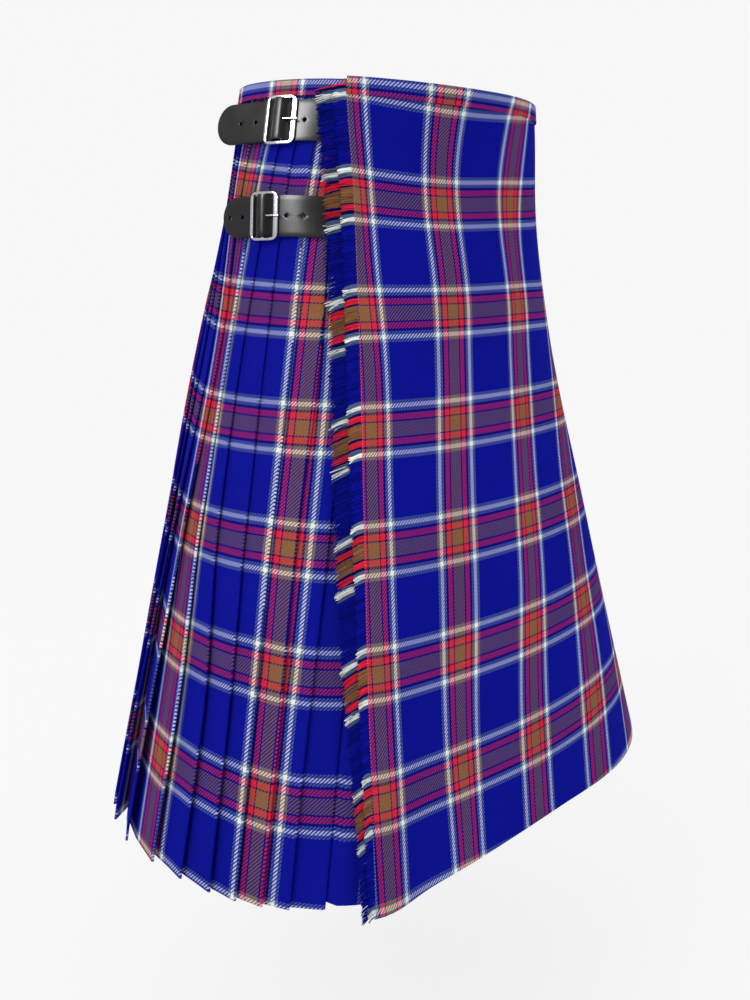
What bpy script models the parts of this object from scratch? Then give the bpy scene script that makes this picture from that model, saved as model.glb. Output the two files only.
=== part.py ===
"""Scottish kilt: one length of tartan cloth wound one and a third times round the waist.

The under apron lies inside, knife pleats run round the back, and the over apron lies outside and
ends in a fringed edge at the wearer's right. Two leather straps and buckles close it there.
Metres, +Z up. The wearer faces -Y, so the wearer's right hand is at -X. The origin is the middle
of the waist. Angles are seen from above: 0 is the front centre, 90 the wearer's right side,
180 the back centre, and they keep growing where the cloth passes the front again.
"""

import math

import bmesh
import bpy
import numpy as np
from mathutils import Vector

MM = 0.001

# ---------------------------------------------------------------- driving sizes
LENGTH = 0.645              # waist edge to hem, along the cloth
CLOTH = 1.0 * MM            # wall of the worsted cloth
LAYER_GAP = 0.8 * MM        # air between folded layers
PITCH = CLOTH + LAYER_GAP   # one folded layer and its air
SEAM_GAP = 0.4 * MM         # air between a piece and what lies on it
FRONT_DIP = 0.0055          # the waist edge sits this much lower in front than at the hips
RIGHT_DIP = 0.0070          # and this much lower at the buckled side than at the middle

# Plan of the kilt, level by level down the cloth.
PLAN_COLUMNS = ("along", "half_width", "front", "back", "front_square", "back_square")
PLAN = (
    (0.000, 0.1550, 0.1150, 0.0780, 2.05, 2.25),
    (0.080, 0.1681, 0.0940, 0.1010, 2.85, 2.05),
    (0.195, 0.1754, 0.1204, 0.1515, 2.65, 2.30),
    (0.390, 0.2196, 0.1675, 0.1951, 2.56, 2.05),
    (0.645, 0.2856, 0.2199, 0.1990, 2.75, 2.05),
)
HOLLOW = 6.9 * MM           # the aprons hang this much flatter beside the front centre, at the hem
HOLLOW_AT = 25.0
HOLLOW_WIDTH = 17.0
HEM_RISE = 11.0 * MM        # the aprons' hem is cut this much higher in front
HEM_RISE_WIDTH = 28.6
FLARE = 20.0 * MM           # the fringed edge swings out this far at the hem
FLARE_WIDTH = 38.0 * MM
FLARE_FROM = 0.15
UNDER_FLARE = 0.6           # the under apron's share of the swing

# Lines that run down the cloth, as angles.
LINE_COLUMNS = ("along", "fringe_edge", "first_fold")
LINES = (
    (0.000, 60.2, 48.5),
    (0.090, 57.4, 49.4),
    (0.200, 54.3, 51.8),
    (0.350, 51.7, 52.9),
    (0.500, 50.0, 54.0),
    (0.645, 48.5, 55.1),
)
UNDER_EDGE = -55.0          # inner edge of the under apron, hidden in front
UNDER_BEND = 9.0 * MM       # it bends inwards this far before the first pleat
UNDER_SHORT = 5.0 * MM      # and ends this far above the hem
OVER_TUCK = 14.0 * MM       # the over apron's hidden leg at the left hip
LAST_FOLD = 265.0           # fold where the over apron leaves the pleats, at the left hip

# How far each layer's middle stands off the plan's surface.
OVER_OUT = 0.5 * MM
CREST_OUT = -4.8 * MM
UNDER_OUT = -5.3 * MM
STRAP_AIR = 0.3 * MM        # between the pleats and what lies on them

# Pleats
PLEATS = 34
HIDDEN = 0.72               # hidden depth of a pleat, as a share of what it shows
STITCHED = 0.19             # the pleats are sewn flat down to here
SWAY = 12.5 * MM            # at the hem the right hip's pleats crowd this far to the front
SWAY_AT = 3.4               # pleat that moves most
SWAY_WIDTH = 1.8            # pleats on each side that move with it
LIFT_COLUMNS = ("angle", "lift")
LIFTS = (
    (50.0, 2.0 * MM),
    (80.0, 4.0 * MM),
    (105.0, 9.0 * MM),
    (125.0, 9.0 * MM),
    (180.0, 6.0 * MM),
    (230.0, 5.0 * MM),
    (270.0, 1.5 * MM),
)
LIFT_WHOLE = 0.74           # the swing would be whole this far down
LEVELS = (1.8 * MM, 0.0165, 0.0525, 0.0895, 0.1250, 0.235, 0.400, LENGTH)

OVER_COLUMNS = 24
UNDER_COLUMNS = 18

# Waistband: a strip folded over the top edge of the cloth.
BAND_DEPTH = 13.5 * MM
BAND_TOP = 0.3 * MM         # its fold lies this far below the waist edge
BAND_ROUND = 1.1 * MM       # and rounds over this height
BAND_EASE = 0.9 * MM        # and this width
BAND_STEP = 7.0             # degrees between its sections over the pleats
BAND_TURNS = (11.0, 7.5, 3.5, 0.0)  # sections that lead it out over the last fold, in degrees before it
BAND_SHORT = 0.4            # degrees that it ends before the fringed edge

# The fringe is two combs of locks, one on the apron's edge and one behind it.
FRINGE_LOCKS = 70
FRINGE_TOP = 8.0 * MM       # the first lock starts this far below the waist edge
FRINGE_BOTTOM = 6.0 * MM    # and the last one's pitch ends this far above the hem
FRINGE_STRIP = 3.0 * MM
FRINGE_LOCK_SHARE = 0.62    # part of a lock's pitch that is yarn
FRINGE_TIP = (0.155, 0.496)  # where a lock's tip starts and ends in its pitch
FRINGE_RISE = 2.0 * MM      # a lock's tip stands this much further off the cloth than its root
FRINGE_COLUMNS = ("name", "out", "length", "thickness", "shift")
FRINGES = (
    ("fringe_outer", OVER_OUT, 13.0 * MM, 1.0 * MM, 0.0),
    ("fringe_under", -0.95 * MM, 26.0 * MM, 0.9 * MM, 0.5),
)
DROOP_TOP = 14.0            # degrees that the yarn hangs below level at the waist
DROOP_HEM = 40.0

# Straps and buckles. A fitting is modelled flat: x to the wearer's front, y up, z off the cloth.
FITTING_COLUMNS = ("name", "along", "angle", "tip")
FITTINGS = (
    ("upper", 0.0330, 77.7, 0.065),
    ("lower", 0.1068, 81.0, 0.048),
)
STRAP_WIDTH = 31.75 * MM
STRAP_THICK = 1.6 * MM
TAIL_FROM = 11.0 * MM        # the free tail runs straight from here
TAIL_SENSE = 2.0 * MM       # its direction is read over this distance on both sides
STRAP_TUCK = 0.030          # sewn length behind the over apron's edge
STRAP_STEPS = 8             # straight columns in front of the buckle
TIP_STEPS = 8               # columns of the tail's rounded tip
TIP_TURN = 86.0             # degrees of its quarter circles that are drawn
HOLE_PITCH = 15.0 * MM
HOLE_RADIUS = 1.7 * MM
HOLE_PLACES = (2, 1, -2, -3)  # pitches from the prong
HOLE_LAND = 6.0 * MM        # no hole lies nearer to the tip than this
FRAME_WIDTH = 27.0 * MM
FRAME_HEIGHT = 38.0 * MM
FRAME_THICK = 2.0 * MM
FRAME_RAIL = 2.8 * MM       # upper and lower sides of the frame
FRONT_BAR = 5.0 * MM
BACK_BAR = 4.0 * MM
CENTRE_BAR = 3.0 * MM
FRAME_Z = 3.85 * MM         # middle of the frame at its centre bar
FRAME_TILT = -0.055         # it stands a little higher at the tail's side
TAB_WIDTH = 24.0 * MM
TAB_THICK = 1.0 * MM
PRONG_RADIUS = 0.8 * MM
PRONG_AIR = 0.5 * MM       # between the prong and the bar that it turns on
RING_STEPS = 8              # columns of the prong's ring round the bar
RING_FROM = -30.0
RING_TURN = -240.0
FRAME_EASE = 0.45 * MM      # rounding of the frame's edges
FRAME_CORNER = 5.0 * MM
WINDOW_CORNER = 1.6 * MM

# Side views: x and z in millimetres of a sheet's or wire's middle.
STRAP_PATH = (
    (15.5, 1.1), (8.6, 1.15), (6.8, 2.2), (5.1, 4.6), (3.4, 6.8), (1.8, 7.8), (0.0, 8.0), (-1.8, 7.8),
    (-3.9, 6.2), (-6.0, 4.0), (-7.8, 2.7), (-9.3, 2.4), (-16.0, 2.4),
)
TAB_PATH = (
    (-26.0, 0.8), (-12.0, 0.8), (0.5, 0.8), (2.4, 1.3), (3.3, 2.6), (3.4, 3.9), (2.6, 5.1), (1.3, 5.7),
    (-1.2, 5.75), (-3.4, 4.3), (-4.8, 2.9), (-5.3, 2.3),
)
PRONG_PATH = ((3.0, 5.85), (8.6, 5.45), (12.6, 5.2), (14.8, 5.0))

# Cut-outs: middle, length and radius of the slot, and the heights that it is cut between.
SLOT_COLUMNS = ("x", "length", "radius", "low", "high")
PRONG_SLOT = (4.4 * MM, 5.6 * MM, 1.4 * MM, 1.5 * MM, 9.0 * MM)
TAB_SLOT = (0.4 * MM, 9.0 * MM, 1.5 * MM, -1.0 * MM, 8.0 * MM)
HOLE_CUT = (-2.0 * MM, 6.0 * MM)

SHARP_FROM = 35.0           # degrees; corners sharper than this are shaded as corners
PALETTE_COLUMNS = ("name", "colour", "roughness", "metallic")
PALETTE = (
    ("apron_cloth", (0.030, 0.035, 0.42), 0.85, 0.0),
    ("inner_cloth", (0.022, 0.026, 0.32), 0.88, 0.0),
    ("pleat_cloth", (0.025, 0.030, 0.38), 0.86, 0.0),
    ("band_cloth", (0.040, 0.045, 0.45), 0.85, 0.0),
    ("fringe_yarn", (0.30, 0.05, 0.12), 0.90, 0.0),
    ("fringe_back", (0.20, 0.05, 0.20), 0.92, 0.0),
    ("leather", (0.018, 0.018, 0.020), 0.38, 0.0),
    ("tab_leather", (0.022, 0.020, 0.020), 0.45, 0.0),
    ("buckle_metal", (0.80, 0.80, 0.82), 0.14, 1.0),
    ("prong_metal", (0.72, 0.72, 0.74), 0.20, 1.0),
)


# ---------------------------------------------------------------- the surface everything lies on
def column(table, names, name):
    """One named column of a table."""
    place = names.index(name)
    return [row[place] for row in table]


def smooth(x, xs, ys):
    """Read a smooth curve through a table's points."""
    slopes = np.gradient(np.array(ys, float), np.array(xs, float))
    x = np.clip(x, xs[0], xs[-1])
    i = np.clip(np.searchsorted(xs, x, side="right") - 1, 0, len(xs) - 2)
    xs, ys = np.array(xs), np.array(ys)
    step = xs[i + 1] - xs[i]
    t = (x - xs[i]) / step
    start = (2 * t**3 - 3 * t**2 + 1) * ys[i] + (t**3 - 2 * t**2 + t) * step * slopes[i]
    end = (3 * t**2 - 2 * t**3) * ys[i + 1] + (t**3 - t**2) * step * slopes[i + 1]
    return start + end


def ease(x, low, high):
    """Rise smoothly from 0 to 1 between two values."""
    t = min(max((x - low) / (high - low), 0.0), 1.0)
    return t * t * (3 - 2 * t)


def hump(angle, middle, width):
    """1 at an angle, fading to 0 on both sides of it. Angle in radians, the others in degrees."""
    off = np.degrees(angle) - middle
    return np.exp(-(((off + 180.0) % 360.0 - 180.0) / width) ** 2)


def plan_radius(angle, along):
    """Distance of the cloth from the middle of the kilt. Both arguments may be arrays."""
    levels = column(PLAN, PLAN_COLUMNS, "along")
    read = {name: smooth(along, levels, column(PLAN, PLAN_COLUMNS, name)) for name in PLAN_COLUMNS[1:]}
    ahead = np.cos(angle) > 0
    depth = np.where(ahead, read["front"], read["back"])
    power = np.where(ahead, read["front_square"], read["back_square"])
    across = np.abs(np.sin(angle)) / read["half_width"]
    deep = np.abs(np.cos(angle)) / depth
    hollow = HOLLOW * np.clip(along / LENGTH, 0.0, 1.0) ** 2 * hump(angle, HOLLOW_AT, HOLLOW_WIDTH)
    return (across**power + deep**power) ** (-1 / power) - hollow


ANGLES = np.radians(np.arange(-80.0, 441.0, 1.0))
NET_LEVELS = (-0.012,) + LEVELS + (LENGTH + 0.015,)


def true_surface(step=0.005):
    """Radius and height at even steps down the cloth; the cloth's own length sets the height."""
    alongs = np.arange(NET_LEVELS[0] - 2 * step, NET_LEVELS[-1] + 2 * step, step)
    radius = np.array([plan_radius(ANGLES, np.full_like(ANGLES, along)) for along in alongs])
    fall = np.sqrt(1.0 - np.gradient(radius, step, axis=0) ** 2)
    height = -np.cumsum(fall * step, axis=0)
    top = np.array([np.interp(0.0, alongs, height[:, k]) for k in range(len(ANGLES))])
    return alongs, radius, height - top


def surface_net():
    """Points and normals of the surface on each level. Between levels it runs straight.

    The waist edge dips in front and at the right, and the dip fades to the hem.
    """
    alongs, radius, height = true_surface()
    points = []
    for level in NET_LEVELS:
        share = 1 - min(max(level / LENGTH, 0.0), 1.0)
        at = level + (FRONT_DIP * np.cos(ANGLES) + RIGHT_DIP * np.sin(ANGLES)) * share**2
        r = np.array([np.interp(at[k], alongs, radius[:, k]) for k in range(len(ANGLES))])
        z = np.array([np.interp(at[k], alongs, height[:, k]) for k in range(len(ANGLES))])
        points.append(np.stack([-r * np.sin(ANGLES), -r * np.cos(ANGLES), z], axis=1))
    points = np.array(points)
    around = np.gradient(points, axis=1)
    down = np.gradient(points, np.array(NET_LEVELS), axis=0)
    normals = np.cross(around, down)
    return points, normals / np.linalg.norm(normals, axis=2, keepdims=True)


POINTS, NORMALS = surface_net()


def place(angle, along, out):
    """Point at a height off the surface."""
    low = min(max(int(np.searchsorted(NET_LEVELS, along)) - 1, 0), len(NET_LEVELS) - 2)
    down = (along - NET_LEVELS[low]) / (NET_LEVELS[low + 1] - NET_LEVELS[low])
    turn = min(max((angle - ANGLES[0]) / (ANGLES[1] - ANGLES[0]), 0.0), len(ANGLES) - 1.001)
    left = int(turn)
    turn -= left
    total = np.zeros(3)
    for row, row_share in ((low, 1 - down), (low + 1, down)):
        for side, side_share in ((left, 1 - turn), (left + 1, turn)):
            total += row_share * side_share * (POINTS[row, side] + out * NORMALS[row, side])
    return Vector(total)


class Level:
    """One level line round the kilt, measured in metres of cloth from the front centre."""

    def __init__(self, along):
        self.along = along
        points = np.array([place(angle, along, 0.0) for angle in ANGLES])
        steps = np.linalg.norm(np.diff(points, axis=0), axis=1)
        self.arcs = np.concatenate([[0.0], np.cumsum(steps)])
        self.arcs -= np.interp(0.0, ANGLES, self.arcs)

    def around(self, degrees):
        return float(np.interp(math.radians(degrees), ANGLES, self.arcs))

    def angle(self, around):
        return float(np.interp(around, self.arcs, ANGLES))

    def point(self, around, out, rise=0.0):
        angle = self.angle(around)
        cut_away = rise * ease(self.along, LEVELS[-2], LENGTH) * float(hump(angle, 0.0, HEM_RISE_WIDTH))
        return place(angle, self.along - cut_away, out)


def line_angle(name, along):
    """Angle of a line that runs down the cloth."""
    return float(smooth(along, column(LINES, LINE_COLUMNS, "along"), column(LINES, LINE_COLUMNS, name)))


# ---------------------------------------------------------------- mesh helpers
def make_material(name):
    row = dict((line[0], line[1:]) for line in PALETTE)[name]
    material = bpy.data.materials.get(name) or bpy.data.materials.new(name)
    material.use_nodes = True
    shader = material.node_tree.nodes["Principled BSDF"]
    shader.inputs["Base Color"].default_value = (*row[0], 1.0)
    shader.inputs["Roughness"].default_value = row[1]
    shader.inputs["Metallic"].default_value = row[2]
    return material


def new_collection(name):
    collection = bpy.data.collections.new(name)
    bpy.context.scene.collection.children.link(collection)
    return collection


def add_mesh_object(name, mesh, collection, material):
    obj = bpy.data.objects.new(name, mesh)
    collection.objects.link(obj)
    mesh.materials.clear()
    mesh.materials.append(make_material(material))
    mesh.shade_smooth()
    mesh.set_sharp_from_angle(angle=math.radians(SHARP_FROM))
    return obj


def add_sheet(name, rows, thickness, collection, material):
    """Loft an open sheet through rows of points and give it its wall."""
    build = bmesh.new()
    grid = [[build.verts.new(point) for point in row] for row in rows]
    for upper, lower in zip(grid, grid[1:]):
        for k in range(len(upper) - 1):
            build.faces.new((upper[k], upper[k + 1], lower[k + 1], lower[k]))
    mesh = bpy.data.meshes.new(name)
    build.to_mesh(mesh)
    build.free()
    obj = add_mesh_object(name, mesh, collection, material)
    wall = obj.modifiers.new("wall", "SOLIDIFY")
    wall.thickness = thickness
    wall.offset = 0.0
    wall.use_even_offset = True
    split = obj.modifiers.new("split", "TRIANGULATE")
    split.quad_method = "BEAUTY"
    return obj


# ---------------------------------------------------------------- cloth
def fold_nose(at, out):
    """The rounded edge of a fold that faces the wearer's right: lower layer, edge, upper layer."""
    return [(at, out - PITCH), (at - PITCH / 2, out - PITCH / 2), (at, out)]


def fold_lines(level):
    """Where each fold's edge lies round a level, the over apron's own fold last."""
    first = level.around(line_angle("first_fold", level.along))
    last = level.around(LAST_FOLD)
    sway = SWAY * ease(level.along, STITCHED, LENGTH)
    lines = []
    for k in range(PLEATS + 1):
        crowd = math.exp(-((k - SWAY_AT) / SWAY_WIDTH) ** 2) if k else 0.0
        lines.append(first + (last - first) * k / PLEATS - sway * crowd)
    return lines


def fold_lift(level, at):
    """How far a fold's edge swings out: nothing where it is sewn, most at the hem."""
    degrees = math.degrees(level.angle(at))
    lift = float(smooth(degrees, column(LIFTS, LIFT_COLUMNS, "angle"), column(LIFTS, LIFT_COLUMNS, "lift")))
    return lift * ease(level.along, STITCHED, LIFT_WHOLE)


def pleat_section(level):
    """The cloth's path through every knife pleat, from the right hip round to the left."""
    folds = fold_lines(level)
    shown = [following - at for at, following in zip(folds, folds[1:])]
    low = CREST_OUT - 2 * PITCH * (1 + HIDDEN)
    path = [(folds[0] + HIDDEN * shown[0], low + PITCH)]
    for k, at in enumerate(folds[:-1]):
        end = folds[k + 1] + HIDDEN * min(shown[k:k + 2])
        path += fold_nose(at, CREST_OUT + fold_lift(level, at))
        path.append((folds[k + 1], CREST_OUT - 2 * PITCH))
        path.append((end, low))
        if k < PLEATS - 1:
            path.append((end + PITCH / 2, low + PITCH / 2))
            path.append((end, low + PITCH))
    return [level.point(around, out) for around, out in path]


def apron_flare(level, around):
    """The over apron swings out towards its fringed edge at the hem."""
    from_edge = level.around(line_angle("fringe_edge", level.along)) - around
    return FLARE * ease(level.along, FLARE_FROM, LENGTH) * math.exp(-(from_edge / FLARE_WIDTH) ** 2)


def over_section(level):
    """Over apron: its own fold at the left hip, then across the front to the fringed edge."""
    start = level.around(LAST_FOLD)
    turn = level.around(360.0)
    end = turn + level.around(line_angle("fringe_edge", level.along))
    path = [(start + OVER_TUCK, OVER_OUT - PITCH)]
    path += fold_nose(start, OVER_OUT)
    for k in range(1, OVER_COLUMNS + 1):
        at = start + (end - start) * k / OVER_COLUMNS
        path.append((at, OVER_OUT + apron_flare(level, at - turn)))
    return [level.point(around, out, HEM_RISE) for around, out in path]


def under_section(level):
    """Under apron: plain in front, then down behind the first pleat."""
    folds = fold_lines(level)
    start = level.around(UNDER_EDGE)
    bend = folds[0] - UNDER_BEND
    tuck = HIDDEN * (folds[1] - folds[0])
    path = []
    for k in range(UNDER_COLUMNS + 1):
        at = start + (bend - start) * k / UNDER_COLUMNS
        path.append((at, UNDER_OUT + UNDER_FLARE * apron_flare(level, at)))
    path.append((folds[0], CREST_OUT - 2 * PITCH))
    path.append((folds[0] + tuck, CREST_OUT - 2 * PITCH * (1 + HIDDEN)))
    return [level.point(around, out, HEM_RISE) for around, out in path]


def add_cloth(collection):
    levels = [Level(along) for along in LEVELS]
    short = [Level(min(along, LENGTH - UNDER_SHORT)) for along in LEVELS]
    add_sheet("over_apron", [over_section(level) for level in levels], CLOTH, collection, "apron_cloth")
    add_sheet("under_apron", [under_section(level) for level in short], CLOTH, collection, "inner_cloth")
    add_sheet("pleated_back", [pleat_section(level) for level in levels], CLOTH, collection, "pleat_cloth")


# ---------------------------------------------------------------- waistband
BAND_COLUMNS = ("angle", "outer", "inner")
BAND_LEGS = (
    (UNDER_EDGE, -3.7 * MM, -7.3 * MM),
    (33.0, -3.7 * MM, -7.3 * MM),
    (41.0, -3.4 * MM, -13.2 * MM),
    (48.0, -2.8 * MM, -13.2 * MM),
    (253.0, -2.8 * MM, -13.2 * MM),
    (261.5, 2.1 * MM, -13.2 * MM),
    (273.0, 2.1 * MM, -13.2 * MM),
    (290.0, 2.1 * MM, -1.1 * MM),
    (422.0, 2.1 * MM, -1.1 * MM),
)


def band_section(degrees):
    """The strip's path over the cloth's top edge: outer leg, crown, inner leg."""
    angles = column(BAND_LEGS, BAND_COLUMNS, "angle")
    outer = float(np.interp(degrees, angles, column(BAND_LEGS, BAND_COLUMNS, "outer")))
    inner = float(np.interp(degrees, angles, column(BAND_LEGS, BAND_COLUMNS, "inner")))
    angle = math.radians(degrees)
    path = [(BAND_DEPTH, outer), (BAND_TOP + BAND_ROUND, outer), (BAND_TOP, outer - BAND_EASE)]
    path += [(BAND_TOP, inner + BAND_EASE), (BAND_TOP + BAND_ROUND, inner), (BAND_DEPTH, inner)]
    return [place(angle, along, out) for along, out in path]


def band_stations():
    """Angles of the strip's sections. Along the aprons they match the aprons' own columns."""
    level = Level(LEVELS[0])
    first = fold_lines(level)[0]
    turn = level.around(360.0)
    start, bend = level.around(UNDER_EDGE), first - UNDER_BEND
    under = [start + (bend - start) * k / UNDER_COLUMNS for k in range(UNDER_COLUMNS + 1)]
    start = level.around(LAST_FOLD)
    end = turn + level.around(line_angle("fringe_edge", BAND_DEPTH) - BAND_SHORT)
    over = [start + (end - start) * k / OVER_COLUMNS for k in range(1, OVER_COLUMNS + 1)]
    stations = [math.degrees(level.angle(at)) for at in under]
    low, high = stations[-1], LAST_FOLD - BAND_TURNS[0]
    steps = round((high - low) / BAND_STEP)
    stations += [low + (high - low) * k / steps for k in range(1, steps)]
    stations += [LAST_FOLD - before for before in BAND_TURNS]
    return stations + [math.degrees(level.angle(at)) for at in over]


def add_waistband(collection):
    sections = [band_section(degrees) for degrees in band_stations()]
    rows = [list(row) for row in zip(*sections)]
    add_sheet("waistband", rows[::-1], CLOTH, collection, "band_cloth")


# ---------------------------------------------------------------- fringe
def comb_corners(levels, row, along, reach, rise=0.0):
    """Both faces of a comb at a distance down the apron's edge and a reach from it.

    The apron's edge runs straight from level to level, and the comb keeps beside it.
    """
    values = dict(zip(FRINGE_COLUMNS, row))
    marks = [level.along for level in levels]
    low = min(max(int(np.searchsorted(marks, along)) - 1, 0), len(levels) - 2)
    share = (along - marks[low]) / (marks[low + 1] - marks[low])
    corners = []
    for side in (1, -1):
        ends = []
        for level in levels[low:low + 2]:
            edge = level.around(line_angle("fringe_edge", level.along))
            out = values["out"] + rise + apron_flare(level, edge) + side * values["thickness"] / 2
            ends.append(level.point(edge + reach, out))
        corners.append(ends[0].lerp(ends[1], share))
    return corners


def add_fringe(collection, row, material):
    """A comb: a narrow strip beside the apron's edge with a tapered lock on each pitch."""
    values = dict(zip(FRINGE_COLUMNS, row))
    levels = [Level(along) for along in LEVELS]
    pitch = (LENGTH - FRINGE_TOP - FRINGE_BOTTOM) / FRINGE_LOCKS
    build = bmesh.new()
    rings = []
    for k in range(FRINGE_LOCKS):
        top = FRINGE_TOP + (k + values["shift"] * (1 - FRINGE_LOCK_SHARE)) * pitch
        for along in (top, top + FRINGE_LOCK_SHARE * pitch):
            inner = comb_corners(levels, row, along, SEAM_GAP)
            outer = comb_corners(levels, row, along, SEAM_GAP + FRINGE_STRIP)
            rings.append([build.verts.new(p) for p in (inner[0], outer[0], outer[1], inner[1])])
    build.faces.new(rings[0])
    build.faces.new(rings[-1][::-1])
    for k, (upper, lower) in enumerate(zip(rings, rings[1:])):
        for a, b in ((0, 1), (2, 3), (3, 0)):
            build.faces.new((upper[a], upper[b], lower[b], lower[a]))
        if k % 2:
            build.faces.new((upper[1], upper[2], lower[2], lower[1]))
            continue
        top = FRINGE_TOP + k / 2 * pitch
        droop = math.radians(DROOP_TOP + (DROOP_HEM - DROOP_TOP) * top / LENGTH)
        free = values["length"] - FRINGE_STRIP
        reach = SEAM_GAP + FRINGE_STRIP + free * math.cos(droop)
        drop = top + free * math.sin(droop)
        tips = [comb_corners(levels, row, drop + at * pitch, reach, FRINGE_RISE) for at in FRINGE_TIP]
        ends = [build.verts.new(p) for p in (tips[0][0], tips[0][1], tips[1][1], tips[1][0])]
        roots = [upper[1], upper[2], lower[2], lower[1]]
        for a in range(4):
            b = (a + 1) % 4
            build.faces.new((roots[a], roots[b], ends[b], ends[a]))
        build.faces.new(ends)
    bmesh.ops.recalc_face_normals(build, faces=build.faces)
    mesh = bpy.data.meshes.new(values["name"])
    build.to_mesh(mesh)
    build.free()
    add_mesh_object(values["name"], mesh, collection, material)


# ---------------------------------------------------------------- straps and buckles
def wrap(mesh, along, degrees, straight_from=None):
    """Lay a piece that was modelled flat onto the cloth; its free tail runs on straight."""
    level = Level(along)
    centre = level.around(degrees)
    ground = CREST_OUT + CLOTH / 2 + STRAP_AIR

    for vertex in mesh.vertices:
        x, y, z = vertex.co
        angle = level.angle(centre - max(x, straight_from) if straight_from is not None else centre - x)
        point = place(angle, along - y, ground + z)
        if straight_from is not None and x < straight_from:
            before = place(level.angle(centre - straight_from - TAIL_SENSE), along - y, ground + z)
            after = place(level.angle(centre - straight_from + TAIL_SENSE), along - y, ground + z)
            point = point + (after - before).normalized() * (straight_from - x)
        vertex.co = point


def strip_rows(path, half_widths):
    """Rows of a flat strip from its side view, one row for each side of its width."""
    lower = [Vector((x, -half, z)) for (x, z), half in zip(path, half_widths)]
    upper = [Vector((x, half, z)) for (x, z), half in zip(path, half_widths)]
    return [upper, lower]


def cut(obj, cutter, cutters):
    cutter.hide_render = True
    cutter.display_type = "WIRE"
    cutters.objects.link(cutter)
    modifier = obj.modifiers.new("cut", "BOOLEAN")
    modifier.object = cutter
    modifier.operation = "DIFFERENCE"


def finished_mesh(obj):
    """The object's mesh with its modifiers applied; the object itself is removed."""
    graph = bpy.context.evaluated_depsgraph_get()
    mesh = bpy.data.meshes.new_from_object(obj.evaluated_get(graph))
    bpy.data.objects.remove(obj)
    return mesh


def slot_cutter(name, row):
    """A hole's cutter: a round one, drawn out along x where it is a slot."""
    values = dict(zip(SLOT_COLUMNS, row))
    mesh = bpy.data.meshes.new(name)
    build = bmesh.new()
    radius, deep = values["radius"], values["high"] - values["low"]
    made = bmesh.ops.create_cone(
        build, cap_ends=True, segments=12, radius1=radius, radius2=radius, depth=deep
    )
    for vertex in made["verts"]:
        vertex.co.x += values["x"] + math.copysign(values["length"] / 2 - radius, vertex.co.x)
        vertex.co.z += (values["low"] + values["high"]) / 2
    build.to_mesh(mesh)
    build.free()
    return bpy.data.objects.new(name, mesh)


def add_strap(collection, cutters, row):
    values = dict(zip(FITTING_COLUMNS, row))
    level = Level(values["along"])
    edge = level.around(line_angle("fringe_edge", values["along"]))
    front = level.around(values["angle"]) - edge + STRAP_TUCK
    half = STRAP_WIDTH / 2
    curved = [(x * MM, z * MM) for x, z in STRAP_PATH]
    (near, flat), (far, tail) = curved[0], curved[-1]
    path = [(front - (front - near) * k / STRAP_STEPS, flat) for k in range(STRAP_STEPS)] + curved
    tip = -values["tip"]
    bow = tip + half
    path.append(((far + bow) / 2, tail))
    widths = [half] * len(path)
    for k in range(TIP_STEPS + 1):
        turn = math.radians(TIP_TURN * k / TIP_STEPS)
        path.append((bow - half * math.sin(turn), tail))
        widths.append(half * math.cos(turn))
    name = "strap_" + values["name"]
    obj = add_sheet(name, strip_rows(path[::-1], widths[::-1]), STRAP_THICK, collection, "leather")
    for k, pitches in enumerate(HOLE_PLACES):
        x = PRONG_SLOT[0] + pitches * HOLE_PITCH
        if x - HOLE_RADIUS > tip + HOLE_LAND:
            hole = (x, 2 * HOLE_RADIUS, HOLE_RADIUS, *HOLE_CUT)
            cut(obj, slot_cutter(f"{name}_hole_{k}", hole), cutters)
    cut(obj, slot_cutter(name + "_slot", PRONG_SLOT), cutters)
    mesh = finished_mesh(obj)
    wrap(mesh, values["along"], values["angle"], straight_from=-TAIL_FROM)
    add_mesh_object(name, mesh, collection, "leather")


def add_tab(collection, cutters, row):
    values = dict(zip(FITTING_COLUMNS, row))
    path = [(x * MM, z * MM) for x, z in TAB_PATH]
    name = "tab_" + values["name"]
    rows = strip_rows(path, [TAB_WIDTH / 2] * len(path))
    obj = add_sheet(name, rows, TAB_THICK, collection, "tab_leather")
    cut(obj, slot_cutter(name + "_slot", TAB_SLOT), cutters)
    mesh = finished_mesh(obj)
    wrap(mesh, values["along"], values["angle"])
    add_mesh_object(name, mesh, collection, "tab_leather")


def rounded_outline(curve, left, right, half_height, radius, corner_points):
    """Add a closed outline with rounded corners to a flat curve."""
    points = []
    corners = ((right, half_height), (left, half_height), (left, -half_height), (right, -half_height))
    for quarter, (x, y) in enumerate(corners):
        centre_x = x - math.copysign(radius, x - (left + right) / 2)
        centre_y = y - math.copysign(radius, y)
        for k in range(corner_points):
            turn = math.radians(90 * (quarter + k / (corner_points - 1)))
            points.append((centre_x + radius * math.cos(turn), centre_y + radius * math.sin(turn)))
    spline = curve.splines.new("POLY")
    spline.points.add(len(points) - 1)
    for point, (x, y) in zip(spline.points, points):
        point.co = (x, y, 0.0, 1.0)
    spline.use_cyclic_u = True


def curve_mesh(curve, name, weld=0.02 * MM):
    """A curve object's closed mesh, its caps welded on."""
    obj = bpy.data.objects.new(name, curve)
    bpy.context.scene.collection.objects.link(obj)
    mesh = finished_mesh(obj)
    build = bmesh.new()
    build.from_mesh(mesh)
    bmesh.ops.remove_doubles(build, verts=build.verts, dist=weld)
    bmesh.ops.recalc_face_normals(build, faces=build.faces)
    build.to_mesh(mesh)
    build.free()
    return mesh


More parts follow.
